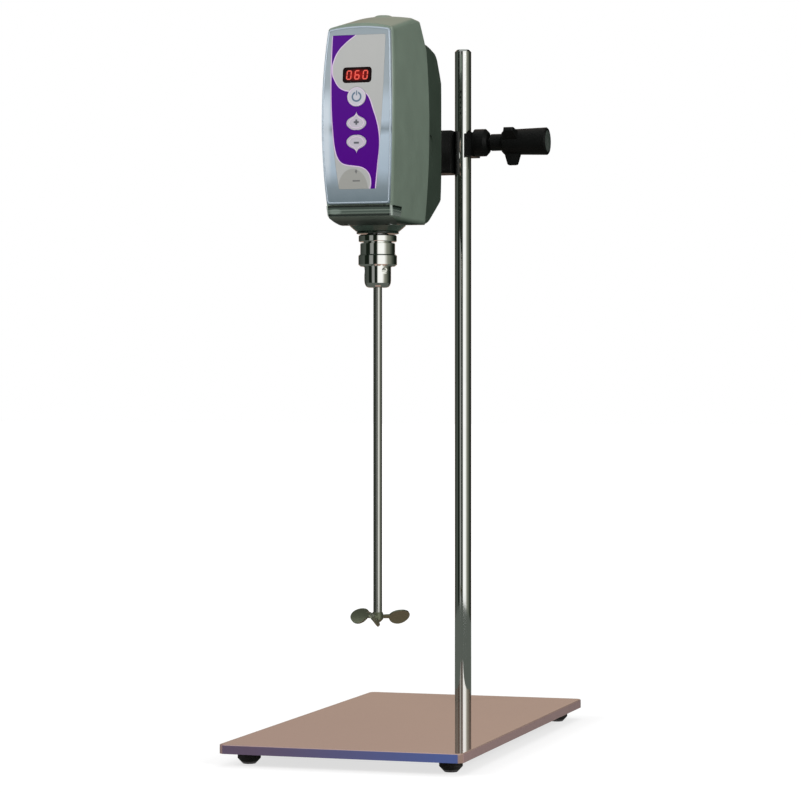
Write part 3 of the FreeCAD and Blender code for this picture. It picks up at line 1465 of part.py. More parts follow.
def main():
    os.makedirs("parts", exist_ok=True)
    export("base_plate", base_plate())
    export("rubber_feet", *[rubber_foot(x, y) for x, y in foot_places()])
    export("foot_screws", *[foot_screw(x, y) for x, y in foot_places()])
    export("support_rod", support_rod())
    export("rod_washer", rod_washer())
    export("rod_nut", rod_nut())
    export("boss_head", boss_head())
    for name, rod_side in (("rod_lock", True), ("arm_lock", False)):
        export(name + "_pad", lock_pad(rod_side))
        export(name + "_screw", lock_screw(rod_side))
        export(name + "_knob", lock_knob(rod_side))
        export(name + "_knob_cap", knob_cap(rod_side))
    export("support_arm", support_arm())
    export("arm_screws", *[arm_screw(x, z) for x, z in flange_screw_places()])
    export("arm_backing_plate", backing_plate())
    export("front_shell", front_shell())
    export("rear_cover", rear_cover())
    export("case_screws", *[case_screw(x, z) for x, z in case_boss_places()])
    export("top_plug", top_plug())
    export("bezel", bezel())
    export("chin_trim", chin_trim())
    export("membrane_overlay", membrane_overlay())
    export("display_window", display_window())
    export("display_module", display_module())
    for name in key_rises():
        export("key_" + name, control_key(name))
    export("control_board", control_board())
    export("board_screws", *[board_screw(x, z) for x, z in board_post_places()])
    export("key_switches", *[key_switch(rise) for rise in key_rises().values()])
    export("neck", neck())
    export("neck_screws", *[neck_screw(x, y) for x, y in neck_screw_places()])
    export("shaft_seal", shaft_seal())
    export("gearbox_housing", gearbox_housing())
    export("gearbox_cover", gearbox_cover())
    export("gearbox_screws", *[cover_screw(x, y) for x, y in gearbox_screw_places()])
    export("frame_screws", *[post_screw(x, y) for x, y in post_places()])
    export("bearing_outer_rings", *[bearing_outer(z) for z in bearing_levels()])
    export("bearing_inner_rings", *[bearing_inner(z) for z in bearing_levels()])
    export("spindle", spindle())
    export("spindle_gear", spindle_gear())
    export("motor_can", motor_can())
    export("motor_end_cap", motor_end_cap())
    bush_levels = (motor_z, motor_z + motor_length - motor_end_wall)
    export("motor_bushes", *[motor_bush(z) for z in bush_levels])
    export("motor_magnet", motor_magnet())
    export("motor_rotor", motor_rotor())
    export("motor_pinion", motor_pinion())
    export("power_inlet", power_inlet())
    export("inlet_pin", inlet_pin())
    export("inlet_nut", inlet_nut())
    export("chuck_body", chuck_body())
    export("chuck_sleeve", chuck_sleeve())
    for number, angle in enumerate(jaw_angles(), start=1):
        export("chuck_jaw_%d" % number, chuck_jaw(angle))
    export("stirring_shaft", stirring_shaft())
    export("propeller", propeller())


main()
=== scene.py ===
"""Looks of a laboratory overhead stirrer on a plate stand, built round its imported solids.

Lengths are in metres unless a name or a comment says millimetres. The spindle's upright axis and the bowed
front face are the two places that the printed panel, the keys and the trims are laid out from.
"""

import logging
import math
from dataclasses import dataclass
from enum import Enum
from typing import TypeAlias

import bpy
import numpy as np
from bpy.types import ID, Material, Node, NodeSocket, Object
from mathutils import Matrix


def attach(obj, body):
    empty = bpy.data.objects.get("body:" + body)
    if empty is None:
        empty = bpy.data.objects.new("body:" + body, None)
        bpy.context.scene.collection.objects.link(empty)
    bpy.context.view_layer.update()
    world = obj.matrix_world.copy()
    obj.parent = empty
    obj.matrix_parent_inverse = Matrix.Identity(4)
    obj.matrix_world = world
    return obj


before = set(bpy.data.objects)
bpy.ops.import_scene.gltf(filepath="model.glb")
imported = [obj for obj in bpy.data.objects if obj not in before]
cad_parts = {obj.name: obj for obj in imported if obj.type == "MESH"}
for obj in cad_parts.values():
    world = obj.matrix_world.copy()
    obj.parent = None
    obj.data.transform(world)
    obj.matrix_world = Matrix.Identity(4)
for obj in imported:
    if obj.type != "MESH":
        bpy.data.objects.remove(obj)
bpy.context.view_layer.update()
log = logging.getLogger("stirrer")

Colour = tuple[float, float, float]
Pair = tuple[float, float]
Operand: TypeAlias = "Signal | float"
MM = 0.001  # metres in a millimetre
TO_MM = 1000  # millimetres in a metre
BLACK: Colour = (0.0, 0.0, 0.0)
WHITE: Colour = (1.0, 1.0, 1.0)

# The spindle's axis and the middles of the three keys, in millimetres.
AXIS_X = -29.2
POWER_HEIGHT, UP_HEIGHT, DOWN_HEIGHT = 581.0, 558.3, 540.0


def linear(red: float, green: float, blue: float) -> Colour:
    """Turn a screen colour of 0 to 255 per channel into the linear values that shaders take.

    The screen's curve is straight near black and a power of 2.4 above it.

    Args:
        red, green, blue: The colour as it is seen on a screen.

    Returns:
        The three linear values.
    """
    shares = [value / 255 for value in (red, green, blue)]
    return tuple(share / 12.92 if share <= 0.04045 else ((share + 0.055) / 1.055) ** 2.4 for share in shares)


def scaled(colour: Colour, factor: float) -> Colour:
    """A linear colour times a factor, with each channel kept to one at most."""
    return tuple(min(value * factor, 1.0) for value in colour)


def placed(name: str, data: ID) -> Object:
    """Make an object of a mesh, a lamp or a camera, and put it into the scene.

    Args:
        name: The object's name.
        data: What it shows.

    Returns:
        The object, at the origin.
    """
    made = bpy.data.objects.new(name, data)
    bpy.context.scene.collection.objects.link(made)
    return made


class Signal:
    """A number on a socket, so that shader maths can be written as plain expressions."""

    def __init__(self, graph: "Graph", socket: NodeSocket) -> None:
        """Keep the graph that makes further nodes and the socket that carries the number."""
        self.graph = graph
        self.socket = socket

    def _math(self, operation: str, *others: Operand, flipped: bool = False) -> "Signal":
        """Add one Math node.

        Args:
            operation: The Math node's operation.
            others: The operands beside this signal.
            flipped: Whether this signal comes last instead of first.

        Returns:
            The node's result.
        """
        operands = (*others, self) if flipped else (self, *others)
        node = self.graph.node("ShaderNodeMath", {"operation": operation}, dict(enumerate(operands)))
        return Signal(self.graph, node.outputs[0])

    def __add__(self, other: Operand) -> "Signal":
        """Sum."""
        return self._math("ADD", other)

    def __sub__(self, other: Operand) -> "Signal":
        """Difference."""
        return self._math("SUBTRACT", other)

    def __rsub__(self, other: float) -> "Signal":
        """Difference with the number on the left."""
        return self._math("SUBTRACT", other, flipped=True)

    def __mul__(self, other: Operand) -> "Signal":
        """Product."""
        return self._math("MULTIPLY", other)

    __radd__ = __add__
    __rmul__ = __mul__

    def __truediv__(self, other: Operand) -> "Signal":
        """Quotient."""
        return self._math("DIVIDE", other)

    def __abs__(self) -> "Signal":
        """Size without its sign."""
        return self._math("ABSOLUTE")

    def lesser(self, other: Operand) -> "Signal":
        """The smaller of the two."""
        return self._math("MINIMUM", other)

    def greater(self, other: Operand) -> "Signal":
        """The larger of the two."""
        return self._math("MAXIMUM", other)

    def held(self) -> "Signal":
        """The number kept between nought and one."""
        return self.greater(0.0).lesser(1.0)

    def root(self) -> "Signal":
        """Square root."""
        return self._math("SQRT")

    def sine(self) -> "Signal":
        """Sine of an angle in radians."""
        return self._math("SINE")

    def angle(self, other: Operand) -> "Signal":
        """Angle of the point (other, self) about the origin, in radians."""
        return self._math("ARCTAN2", other)

    def reach(self, other: "Signal", wide: float = 1.0, tall: float = 1.0) -> "Signal":
        """How far the point (self, other) lies out from the middle of an oval.

        It is the root of the sum of the squares of both distances, each as a share of the oval's half size.

        Args:
            other: The distance upwards, where this signal is the distance across.
            wide, tall: The oval's half sizes.

        Returns:
            The reach, which is one on the oval.
        """
        across, up = self / wide, other / tall
        return (across * across + up * up).root()

    def inside(self, limit: Operand, blur: float = 0.12) -> "Signal":
        """One where this number lies below a limit, nought above it, with a soft step between.

        Args:
            limit: The number at which the step stands.
            blur: Half the step's width, in this number's own unit.

        Returns:
            The mask.
        """
        return ((limit - self) / (2 * blur) + 0.5).held()

    def box(self, other: "Signal", half: Pair, blur: float = 0.12) -> "Signal":
        """One inside a rectangle about nought, for the point (self, other).

        Args:
            other: The distance upwards, where this signal is the distance across.
            half: The rectangle's half width and half height.
            blur: Half the width of its soft edge.

        Returns:
            The mask.
        """
        return abs(self).inside(half[0], blur) * abs(other).inside(half[1], blur)


class Graph:
    """One material's node tree, with a single way of making its nodes."""

    def __init__(self, name: str, owner: ID | None = None) -> None:
        """Start with an empty tree.

        Args:
            name: The material's name.
            owner: The world whose tree is filled, or None for a new material.
        """
        self.material = bpy.data.materials.new(name) if owner is None else owner
        self.material.use_nodes = True
        self.tree = self.material.node_tree
        self.tree.nodes.clear()
        place = self.node("ShaderNodeTexCoord")
        self.place = place.outputs["Object"]
        split = self.node("ShaderNodeSeparateXYZ", {}, {0: self.place})
        self.x, self.y, self.z = (Signal(self, output) for output in split.outputs)

    def node(self, kind: str, settings: dict | None = None, inputs: dict | None = None) -> Node:
        """Make a node, set it up, and then feed its sockets.

        Args:
            kind: The node's type.
            settings: The node's own settings. "rows" are a ramp's stops or a curve's points.
            inputs: A value, a Signal or a socket for each named or numbered input.

        Returns:
            The node.
        """
        made = self.tree.nodes.new(kind)
        for key, value in (settings or {}).items():
            if key == "rows":
                self._set_rows(made, value)
            else:
                setattr(made, key, value)
        for key, value in (inputs or {}).items():
            self.feed(made.inputs[key], value)
        return made

    def _set_rows(self, made: Node, rows: list[tuple]) -> None:
        """Give a ramp its (place, colour) stops, or a curve its (place, height) points.

        Args:
            made: The ramp or the curve.
            rows: The pairs, in the order of their places.
        """
        if made.bl_idname == "ShaderNodeValToRGB":
            stops = made.color_ramp.elements
            while len(stops) < len(rows):
                stops.new(1.0)
            for stop, (where, colour) in zip(stops, rows):
                stop.position = where
                stop.color = (*colour, 1.0)
            return
        points = made.mapping.curves[0].points
        while len(points) < len(rows):
            points.new(0.5, 0.5)
        for point, row in zip(points, rows):
            point.location = row
            point.handle_type = "AUTO_CLAMPED"
        made.mapping.update()

    def feed(self, socket: NodeSocket, value: object) -> None:
        """Link a signal or a socket to an input, or set the input's own value.

        Args:
            socket: The input.
            value: A Signal, a socket, a colour or a plain value.
        """
        if isinstance(value, Signal):
            self.tree.links.new(value.socket, socket)
        elif isinstance(value, NodeSocket):
            self.tree.links.new(value, socket)
        elif isinstance(value, tuple) and len(value) == 3 and socket.type == "RGBA":
            socket.default_value = (*value, 1.0)
        else:
            socket.default_value = value

    def across(self) -> Signal:
        """Distance to the right of the spindle's axis, in millimetres."""
        return self.x * TO_MM - AXIS_X

    def up(self, height: float = 0.0) -> Signal:
        """Height above a given height, in millimetres."""
        return self.z * TO_MM - height

    def noise(self, scale: float, detail: float, stretch: tuple | None = None) -> Signal:
        """Smooth random number about 0.5.

        Args:
            scale: How many features lie along a metre.
            detail: How many finer layers are added.
            stretch: A further factor along each axis, or None.

        Returns:
            The number.
        """
        where = self.place
        if stretch:
            factors = {0: where, 1: stretch}
            where = self.node("ShaderNodeVectorMath", {"operation": "MULTIPLY"}, factors).outputs[0]
        inputs = {"Vector": where, "Scale": scale, "Detail": detail}
        return Signal(self, self.node("ShaderNodeTexNoise", {}, inputs).outputs[0])

    def blend(self, share: Operand, low: object, high: object) -> NodeSocket:
        """Mix two colours.

        Args:
            share: Nought gives the low colour and one gives the high colour.
            low, high: Linear colours or colour sockets.

        Returns:
            The mixed colour's socket.
        """
        mix = self.node("ShaderNodeMix", {"data_type": "RGBA"}, {0: share, 6: low, 7: high})
        return mix.outputs[2]

    def tone(self, share: Signal, stops: list[tuple[float, Colour]]) -> NodeSocket:
        """Colour that follows a number along a ramp.

        Args:
            share: The number, from nought to one.
            stops: The ramp's (place, colour) pairs.

        Returns:
            The colour's socket.
        """
        return self.node("ShaderNodeValToRGB", {"rows": stops}, {0: share}).outputs[0]

    def seen(self, shown: float, lighting: float) -> Signal:
        """One strength for the rays that show a backdrop, and another for those that light the object.

        Args:
            shown: The strength for camera, glossy and transmission rays.
            lighting: The strength for all other rays.

        Returns:
            The strength.
        """
        path = self.node("ShaderNodeLightPath").outputs
        camera, glossy, through = (Signal(self, path[kind + " Ray"]) for kind in (
            "Is Camera", "Is Glossy", "Is Transmission"))
        return camera.greater(glossy).greater(through) * (shown - lighting) + lighting

    def bump(self, height: Signal, distance: float) -> NodeSocket:
        """Normal that follows a height.

        Args:
            height: The height, as a share of the distance.
            distance: How far a height of one stands up.

        Returns:
            The normal's socket.
        """
        return self.node("ShaderNodeBump", {}, {"Height": height, "Distance": distance}).outputs[0]

    def surface(self, finish: "Finish", values: dict) -> Material:
        """Close a finish's material with its shader.

        Args:
            finish: The finish, whose plain values go on the shader's own sockets.
            values: What the shader's other sockets take.

        Returns:
            The finished material.
        """
        plain = {"Roughness": finish.roughness, "Metallic": finish.metallic, "Coat Weight": finish.coat,
                 "Coat Roughness": finish.coat_roughness, "Specular IOR Level": finish.specular}
        return self.close(self.node("ShaderNodeBsdfPrincipled", {}, plain | values))

    def close(self, shader: Node, output: str = "ShaderNodeOutputMaterial") -> Material:
        """Lead a shader to the tree's output, and return what the tree belongs to."""
        self.node(output, {}, {0: shader.outputs[0]})
        return self.material


@dataclass(frozen=True)
class Finish:
    """What every finish has in common: its name, its main colour and how it shines."""

    name: str
    colour: Colour = WHITE
    roughness: float = 0.4
    coat: float = 0.0
    coat_roughness: float = 0.03
    specular: float = 0.5
    metallic: float = 0.0

    def material(self) -> Material:
        """Make the material, which each kind of finish does with its own nodes."""
        raise NotImplementedError


@dataclass(frozen=True)
class Lacquer(Finish):
    """Sprayed paint: faint mottling, the dimples of a sprayed coat and a roughness that wanders.

    Below the foot's height, in millimetres, the colour sinks to a painted shade, as the underside falls in
    shade.
    """

    coat_roughness: float = 0.08
    mottling: float = 0.10
    mottle_scale: float = 35.0
    speck_scale: float = 2100.0
    contrast: float = 2.2
    wander: float = 0.12
    dimple_scale: float = 900.0
    dimple_depth: float = 0.06 * MM
    foot: float = 0.0
    painted_shade_blur: float = 2.5
    painted_shade_colour: Colour = BLACK

    def material(self) -> Material:
        """Make the paint: two noises darken and lighten the colour, and a finer one makes the dimples.

        Returns:
            The material.
        """
        graph = Graph(self.name)
        cloud = graph.noise(self.mottle_scale, 4.0)
        speck = graph.noise(self.speck_scale, 2.0)
        tone = (cloud * 0.7 + speck * 0.3 - 0.5) * self.contrast + 0.5
        darker, lighter = (scaled(self.colour, 1 + way * self.mottling) for way in (-1, 1))
        paint = graph.blend(tone.held(), darker, lighter)
        # Painted shade: below the foot's height the colour sinks to a darker tone for the shaded underside.
        if self.foot:
            paint = graph.blend(graph.up().inside(self.foot, self.painted_shade_blur), paint, self.painted_shade_colour)
        return graph.surface(self, {
            "Base Color": paint,
            "Roughness": (cloud - 0.5) * self.wander + self.roughness,
            "Normal": graph.bump(graph.noise(self.dimple_scale, 1.0), self.dimple_depth),
        })


@dataclass(frozen=True)
class PaintedLightBands(Finish):
    """Paint or clear moulding with bands of painted reflection and shade by height, as the bezel's and
    chin's.

    The bands are rows of a height in millimetres and a screen colour, from the lowest up. A painted highlight
    line may run down both sides, and a pale oval or a painted glint at the left may lie on the bands.
    """

    bands: tuple = ()
    coat_roughness: float = 0.06
    cloud_scale: float = 120.0
    band_waver: float = 0.03
    wander: float = 0.08
    side: float = 30.0
    side_highlight_half: float = 0.7
    side_highlight_colour: Colour | None = None
    pale_oval: Pair | None = None
    pale_oval_half: Pair = (6.5, 2.6)
    pale_oval_colour: Colour = linear(132, 146, 136)
    glint: Colour | None = None
    glint_end: float = -25.0
    glint_height: float = 546.0
    glint_half: float = 34.0
    overlay: float = 0.75
    rib_pitch: float = 0.0
    relief: float = 0.06 * MM

    def material(self) -> Material:
        """Make the painted light bands with a ramp over the height, and ribs with a sine of the height.

        Returns:
            The material.
        """
        graph = Graph(self.name)
        low, high = self.bands[0][0], self.bands[-1][0]
        cloud = graph.noise(self.cloud_scale, 3.0)
        # Painted reflection and shade: the ramp's bands follow the height.
        share = graph.up(low) / (high - low) + (cloud - 0.5) * self.band_waver
        stops = [((up - low) / (high - low), linear(*screen)) for up, *screen in self.bands]
        paint = graph.tone(share, stops)
        # Painted highlight line down both sides.
        if self.side_highlight_colour:
            edge = abs(abs(graph.across()) - self.side).inside(self.side_highlight_half, 0.5)
            paint = graph.blend(edge, paint, self.side_highlight_colour)
        if self.pale_oval:
            across, up = graph.across() - self.pale_oval[0], graph.up(self.pale_oval[1])
            oval = across.reach(up, *self.pale_oval_half).inside(0.85, 0.2)
            paint = graph.blend(oval * self.overlay, paint, self.pale_oval_colour)
        # Painted glint at the left.
        if self.glint:
            glint_mask = abs(graph.up(self.glint_height)).inside(self.glint_half, 9.0)
            glint_mask = graph.across().inside(self.glint_end, 1.5) * glint_mask
            paint = graph.blend(glint_mask * self.overlay, paint, self.glint)
        height = graph.noise(900.0, 1.0) * 0.3
        if self.rib_pitch:
            height = height + (graph.z * (TO_MM * 2 * math.pi / self.rib_pitch)).sine()
        return graph.surface(self, {
            "Base Color": paint,
            "Roughness": (cloud - 0.5) * self.wander + self.roughness,
            "Normal": graph.bump(height, self.relief),
        })


@dataclass(frozen=True)
class PlateEnamel(Finish):
    """Glossy stove enamel on the plate, with painted reflections: cooler in tone on its front edge, rosier on
    its right one.

    The half sizes and the top are the plate's own, in millimetres from the middle of its foot.
    """

    # The front and right tones are painted reflections on those edges, and the rim's tone is a painted
    # highlight.
    front: tuple[Colour, Colour] = (linear(102, 86, 108), linear(84, 100, 158))
    right: Colour = linear(186, 148, 146)
    left: Colour = linear(156, 128, 124)
    rim_highlight: Colour = linear(196, 172, 164)
    half_width: float = 108.0
    half_depth: float = 215.0
    top: float = 19.0
    edge_depth: float = 0.4
    rim_highlight_width: float = 0.7
    left_slant: float = 1.6
    left_reach: float = 420.0
    mottling: Pair = (0.93, 1.05)
    scratch_depth: float = 0.002 * MM

    def material(self) -> Material:
        """Make the enamel: the front's painted reflection runs along it, and a painted highlight lies along
        the top edges.

        The top sinks to its left corner's tone along a slanted line, and drawn-out noise makes scratches.

        Returns:
            The material.
        """
        graph = Graph(self.name)
        x, y, z = graph.x * TO_MM, graph.y * TO_MM, graph.up()
        cloud = graph.noise(28.0, 4.0)
        scratches = graph.noise(1.0, 2.0, (30.0, 1600.0, 30.0))
        along = ((x + self.half_width) / (2 * self.half_width) * 1.3 - 0.2).held()
        nearer = ((x * self.left_slant + y) / -self.left_reach + 0.1).held()
        top = graph.blend(cloud, *(scaled(self.colour, factor) for factor in self.mottling))
        top = graph.blend(nearer, top, self.left)
        at_front = y.inside(self.edge_depth - self.half_depth, 0.2)
        at_right = 1 - x.inside(self.half_width - self.edge_depth, 0.2)
        below = z.inside(self.top - self.rim_highlight_width, 0.15)
        # Painted reflections on the right and the front edges.
        paint = graph.blend(at_right * below, top, self.right)
        paint = graph.blend(at_front * below, paint, graph.blend(along, *self.front))
        # Painted highlight along the rounded top edges of the front and the right.
        edge = at_front.greater(at_right) * (1 - below)
        return graph.surface(self, {
            "Base Color": graph.blend(edge * 0.6, paint, self.rim_highlight),
            "Roughness": scratches * 0.04 + self.roughness,
            "Normal": graph.bump(scratches, self.scratch_depth),
        })


@dataclass(frozen=True)
class Moulded(Finish):
    """Moulded plastic or rubber: fine pitted grain, dust-pale patches and a soft sheen."""

    grain_scale: float = 2600.0
    grain_depth: float = 0.08 * MM
    patch_scale: float = 60.0
    dust: float = 0.15
    dust_tone: float = 0.35

    def material(self) -> Material:
        """Make the plastic: cell noise gives the grain, and slow noise lays the dust.

        Returns:
            The material.
        """
        graph = Graph(self.name)
        cells = graph.node("ShaderNodeTexVoronoi", {}, {"Vector": graph.place, "Scale": self.grain_scale})
        patch = graph.noise(self.patch_scale, 3.0)
        pale = tuple(value + (self.dust_tone - value) * self.dust for value in self.colour)
        return graph.surface(self, {
            "Base Color": graph.blend(((patch - 0.45) * 3).held(), self.colour, pale),
            "Roughness": (patch - 0.5) * 0.15 + self.roughness,
            "Normal": graph.bump(Signal(graph, cells.outputs[0]), self.grain_depth),
        })


class Grind(Enum):
    """Which way the fine lines of a machined metal run."""

    ROUND = "round the upright axis"
    ALONG = "along the bar"
    CAST = "no lines"


@dataclass(frozen=True)
class Metal(Finish):
    """Bare metal with the marks of how it was worked, and a slight stain in the hollows of its grain.

    The lines are drawn out by noise that has few features per metre along them and many across them.
    """

    grind: Grind = Grind.ROUND
    along: float = 14.0
    over: float = 3200.0
    line_depth: float = 0.006 * MM
    stain: float = 0.86
    metallic: float = 1.0

    def material(self) -> Material:
        """Make the metal: noise drawn out across the lines makes them, and slow noise makes the stain.

        Returns:
            The material.
        """
        graph = Graph(self.name)
        if self.grind is Grind.ROUND:
            lines = graph.noise(1.0, 3.0, (self.along, self.along, self.over))
        elif self.grind is Grind.ALONG:
            lines = graph.noise(1.0, 3.0, (self.over, self.over, self.along))
        else:
            lines = graph.noise(1500.0, 3.0)
        slow = graph.noise(90.0, 3.0)
        clean = (slow * 0.6 + lines * 0.4).lesser(1.0)
        return graph.surface(self, {
            "Base Color": graph.blend(clean, scaled(self.colour, self.stain), self.colour),
            "Roughness": ((lines - 0.5) * 0.07 + (slow - 0.5) * 0.04 + self.roughness).greater(0.02),
            "Normal": graph.bump(lines, self.line_depth),
        })


@dataclass(frozen=True)
class PrintedSheet(Finish):
    """The membrane over the panel: a grey sheet with a dark band that sweeps down it in a long bend.

    Each side of the band is a curve that gives the distance from the axis at a height. The band is what lies
    between both, and its pale edging is what lies between both once they are moved apart. Places are (across,
    height) pairs, and the sides' points (height, across) pairs, all in millimetres.
    """

    specular: float = 0.12
    ink: Colour = linear(80, 0, 132)
    edging: Colour = linear(222, 196, 228)
    shade: Colour = linear(158, 158, 152)
    mark_ink: Colour = linear(70, 72, 78)
    low: float = 495.0
    high: float = 641.0
    widest: float = 30.0
    edging_width: float = 0.9
    arch: Pair = (-4.2, 498.5)
    arch_half: Pair = (14.0, 18.5)
    peak: Pair = (-0.8, 514.6)
    peak_size: float = 2.2
    peak_slope: float = 1.7
    dash: Pair = (-0.9, 506.3)
    dash_half: Pair = (3.4, 0.7)
    right_side: tuple = (
        (499.0, 16.2), (520.0, 19.0), (541.0, 21.2), (551.0, 20.4), (560.0, 18.4), (569.0, 15.4),
        (579.0, 11.8), (583.4, 8.6), (584.6, 2.0), (585.6, -7.0), (587.2, -13.0), (590.5, -17.6),
        (596.5, -21.4), (602.0, -23.6), (608.0, -23.8), (614.5, -22.4), (621.0, -19.6), (629.5, -12.4),
        (637.0, -3.0),
    )
    left_side: tuple = (
        (499.0, 12.0), (505.0, 13.0), (510.0, 12.4), (514.6, 10.0), (517.8, 6.0), (519.5, 0.0),
        (520.1, -5.5), (521.0, -10.5), (523.0, -14.6), (527.0, -17.6), (534.0, -19.8), (552.0, -21.9),
        (579.0, -23.5), (614.0, -24.2), (639.0, -24.4),
    )

    def _side(self, graph: Graph, points: tuple, height: Signal) -> Signal:
        """Distance of one side of the band from the axis at a height.

        Args:
            graph: The material's nodes.
            points: The side's (height, distance) pairs.
            height: The height to read at.

        Returns:
            The distance, in millimetres.
        """
        span = self.high - self.low
        places = [((up - self.low) / span, 0.5 + across / (2 * self.widest)) for up, across in points]
        share = (height - self.low) / span
        curve = graph.node("ShaderNodeFloatCurve", {"rows": places}, {"Value": share})
        return (Signal(graph, curve.outputs[0]) - 0.5) * (2 * self.widest)

    def material(self) -> Material:
        """Make the sheet: the band, its edging, a shaded arch at the foot and two plain marks on it.

        Returns:
            The material.
        """
        graph = Graph(self.name)
        across, up, wide = graph.across(), graph.up(), self.edging_width
        rights, lefts = ([self._side(graph, points, up + step) for step in (0.0, wide, -wide)]
                         for points in (self.right_side, self.left_side))
        band = across.inside(rights[0]) * (1 - across.inside(lefts[0]))
        outer_right = (rights[0] + wide).greater(rights[1]).greater(rights[2])
        outer_left = (lefts[0] - wide).lesser(lefts[1]).lesser(lefts[2])
        round_band = across.inside(outer_right) * (1 - across.inside(outer_left))
        arch = (across - self.arch[0]).reach(up - self.arch[1], *self.arch_half).inside(1.0, 0.02)
        peak = abs(across - self.peak[0]) * self.peak_slope + abs(up - self.peak[1])
        dash = (across - self.dash[0]).box(up - self.dash[1], self.dash_half)
        marks = (peak.inside(self.peak_size) + dash).lesser(1.0)
        cloud = graph.noise(160.0, 3.0)
        sheet = graph.blend((cloud - 0.5) * 0.5 + 0.5, scaled(self.colour, 0.93), self.colour)
        sheet = graph.blend(arch * 0.8, sheet, self.shade)
        sheet = graph.blend(marks * 0.6, sheet, self.mark_ink)
        sheet = graph.blend(round_band, sheet, self.edging)
        return graph.surface(self, {
            "Base Color": graph.blend(band, sheet, self.ink),
            "Roughness": (cloud - 0.5) * 0.1 + self.roughness - band * 0.06,
            "Normal": graph.bump(graph.noise(1800.0, 1.0), 0.03 * MM),
        })


class Mark(Enum):
    """The plain mark printed on a key."""

    STANDBY = "a ring with a gap and a stroke"
    CROSS = "a plus sign"
    DASH = "a minus sign"


@dataclass(frozen=True)
class KeyFace(Finish):
    """A key's printed face: a pale cap with one plain mark in dark ink, with its sizes in millimetres."""

    mark: Mark = Mark.DASH
    centre: float = DOWN_HEIGHT
    ink: Colour = linear(56, 60, 70)
    ring_radius: float = 3.9
    ring_half: float = 0.75
    gap_half: float = 1.3
    stroke_half: Pair = (0.5, 2.2)
    stroke_height: float = 3.4
    bar_half: Pair = (2.4, 0.85)

    def _mark(self, graph: Graph) -> Signal:
        """Draw the key's mark about the key's own centre.

        Args:
            graph: The material's nodes.

        Returns:
            The mark's mask.
        """
        across, up = graph.across(), graph.up(self.centre)
        if self.mark is Mark.STANDBY:
            wide, tall = self.stroke_half
            ring = abs(across.reach(up) - self.ring_radius).inside(self.ring_half, 0.2)
            gap = abs(across).inside(self.gap_half, 0.1) * (1 - up.inside(0.0))
            stroke = abs(across).inside(wide, 0.15) * abs(up - self.stroke_height).inside(tall, 0.2)
            return (ring * (1 - gap) + stroke).lesser(1.0)
        level = across.box(up, self.bar_half, 0.3)
        if self.mark is Mark.DASH:
            return level
        return (level + across.box(up, self.bar_half[::-1], 0.3)).lesser(1.0)

    def material(self) -> Material:
        """Make the cap: a pale plastic with its mark.

        Returns:
            The material.
        """
        graph = Graph(self.name)
        cloud = graph.noise(220.0, 3.0)
        cap = graph.blend(cloud, scaled(self.colour, 0.92), self.colour)
        return graph.surface(self, {
            "Base Color": graph.blend(self._mark(graph) * 0.9, cap, self.ink),
            "Roughness": (cloud - 0.5) * 0.1 + self.roughness,
            "Normal": graph.bump(graph.noise(2200.0, 1.0), 0.03 * MM),
        })


@dataclass(frozen=True)
class DisplayLens(Finish):
    """Dark red lens over a number of three places, each drawn with bars, with its sizes in millimetres."""

    specular: float = 0.25
    centre: float = 600.6
    pitch: float = 7.6
    slant: float = 0.08
    half_wide: float = 1.9
    half_tall: float = 3.7
    bar: float = 0.52
    haze_half: Pair = (12.25, 5.83)
    lit_red: Colour = linear(190, 80, 70)
    lit_glow: Colour = linear(232, 84, 70)
    haze_red: Colour = linear(150, 16, 12)
    haze_glow: Colour = linear(112, 10, 8)
    ghost_red: Colour = linear(120, 20, 18)

    def material(self) -> Material:
        """Make the lens: glowing bars on a red haze that fades to black at the lens's edge.

        Five bars are lit in every place. The level bar is lit only in the middle one, and the upper right bar
        only in the outer two.

        Returns:
            The material.
        """
        graph = Graph(self.name)
        up = graph.up(self.centre)
        across = graph.across() - up * self.slant
        middle = (abs(across) - self.pitch / 2).inside(0.0, 0.01)
        at_left = across.inside(0.0, 0.01)
        local = across * middle + (across - self.pitch) * (1 - middle) * (1 - at_left)
        local = local + (across + self.pitch) * (1 - middle) * at_left
        wide, tall, thick = self.half_wide, self.half_tall, self.bar

        def level(height: float) -> Signal:
            """Mask of a bar that lies level at a height."""
            return local.box(up - height, (wide - 0.25, thick), 0.15)

        def upright(side: float, half: float) -> Signal:
            """Mask of a bar that stands on one side, in the upper or the lower half."""
            return (local - side * wide).box(up - half * tall / 2, (thick, tall / 2 - 0.3), 0.15)

        shared = level(tall) + level(-tall) + upright(-1, 1) + upright(-1, -1) + upright(1, -1)
        lit = (shared + level(0) * middle + upright(1, 1) * (1 - middle)).lesser(1.0)
        ghost = (level(0) + upright(1, 1)).lesser(1.0)
        glow = (1 - across.reach(up, *self.haze_half)).held()
        glass = graph.blend(ghost * 0.25, graph.blend(glow, self.colour, self.haze_red), self.ghost_red)
        return graph.surface(self, {
            "Base Color": graph.blend(lit, glass, self.lit_red),
            "Roughness": graph.noise(300.0, 2.0) * 0.08 + self.roughness,
            "Emission Color": graph.blend(lit, graph.blend(glow, BLACK, self.haze_glow), self.lit_glow),
            "Emission Strength": 0.55,
        })


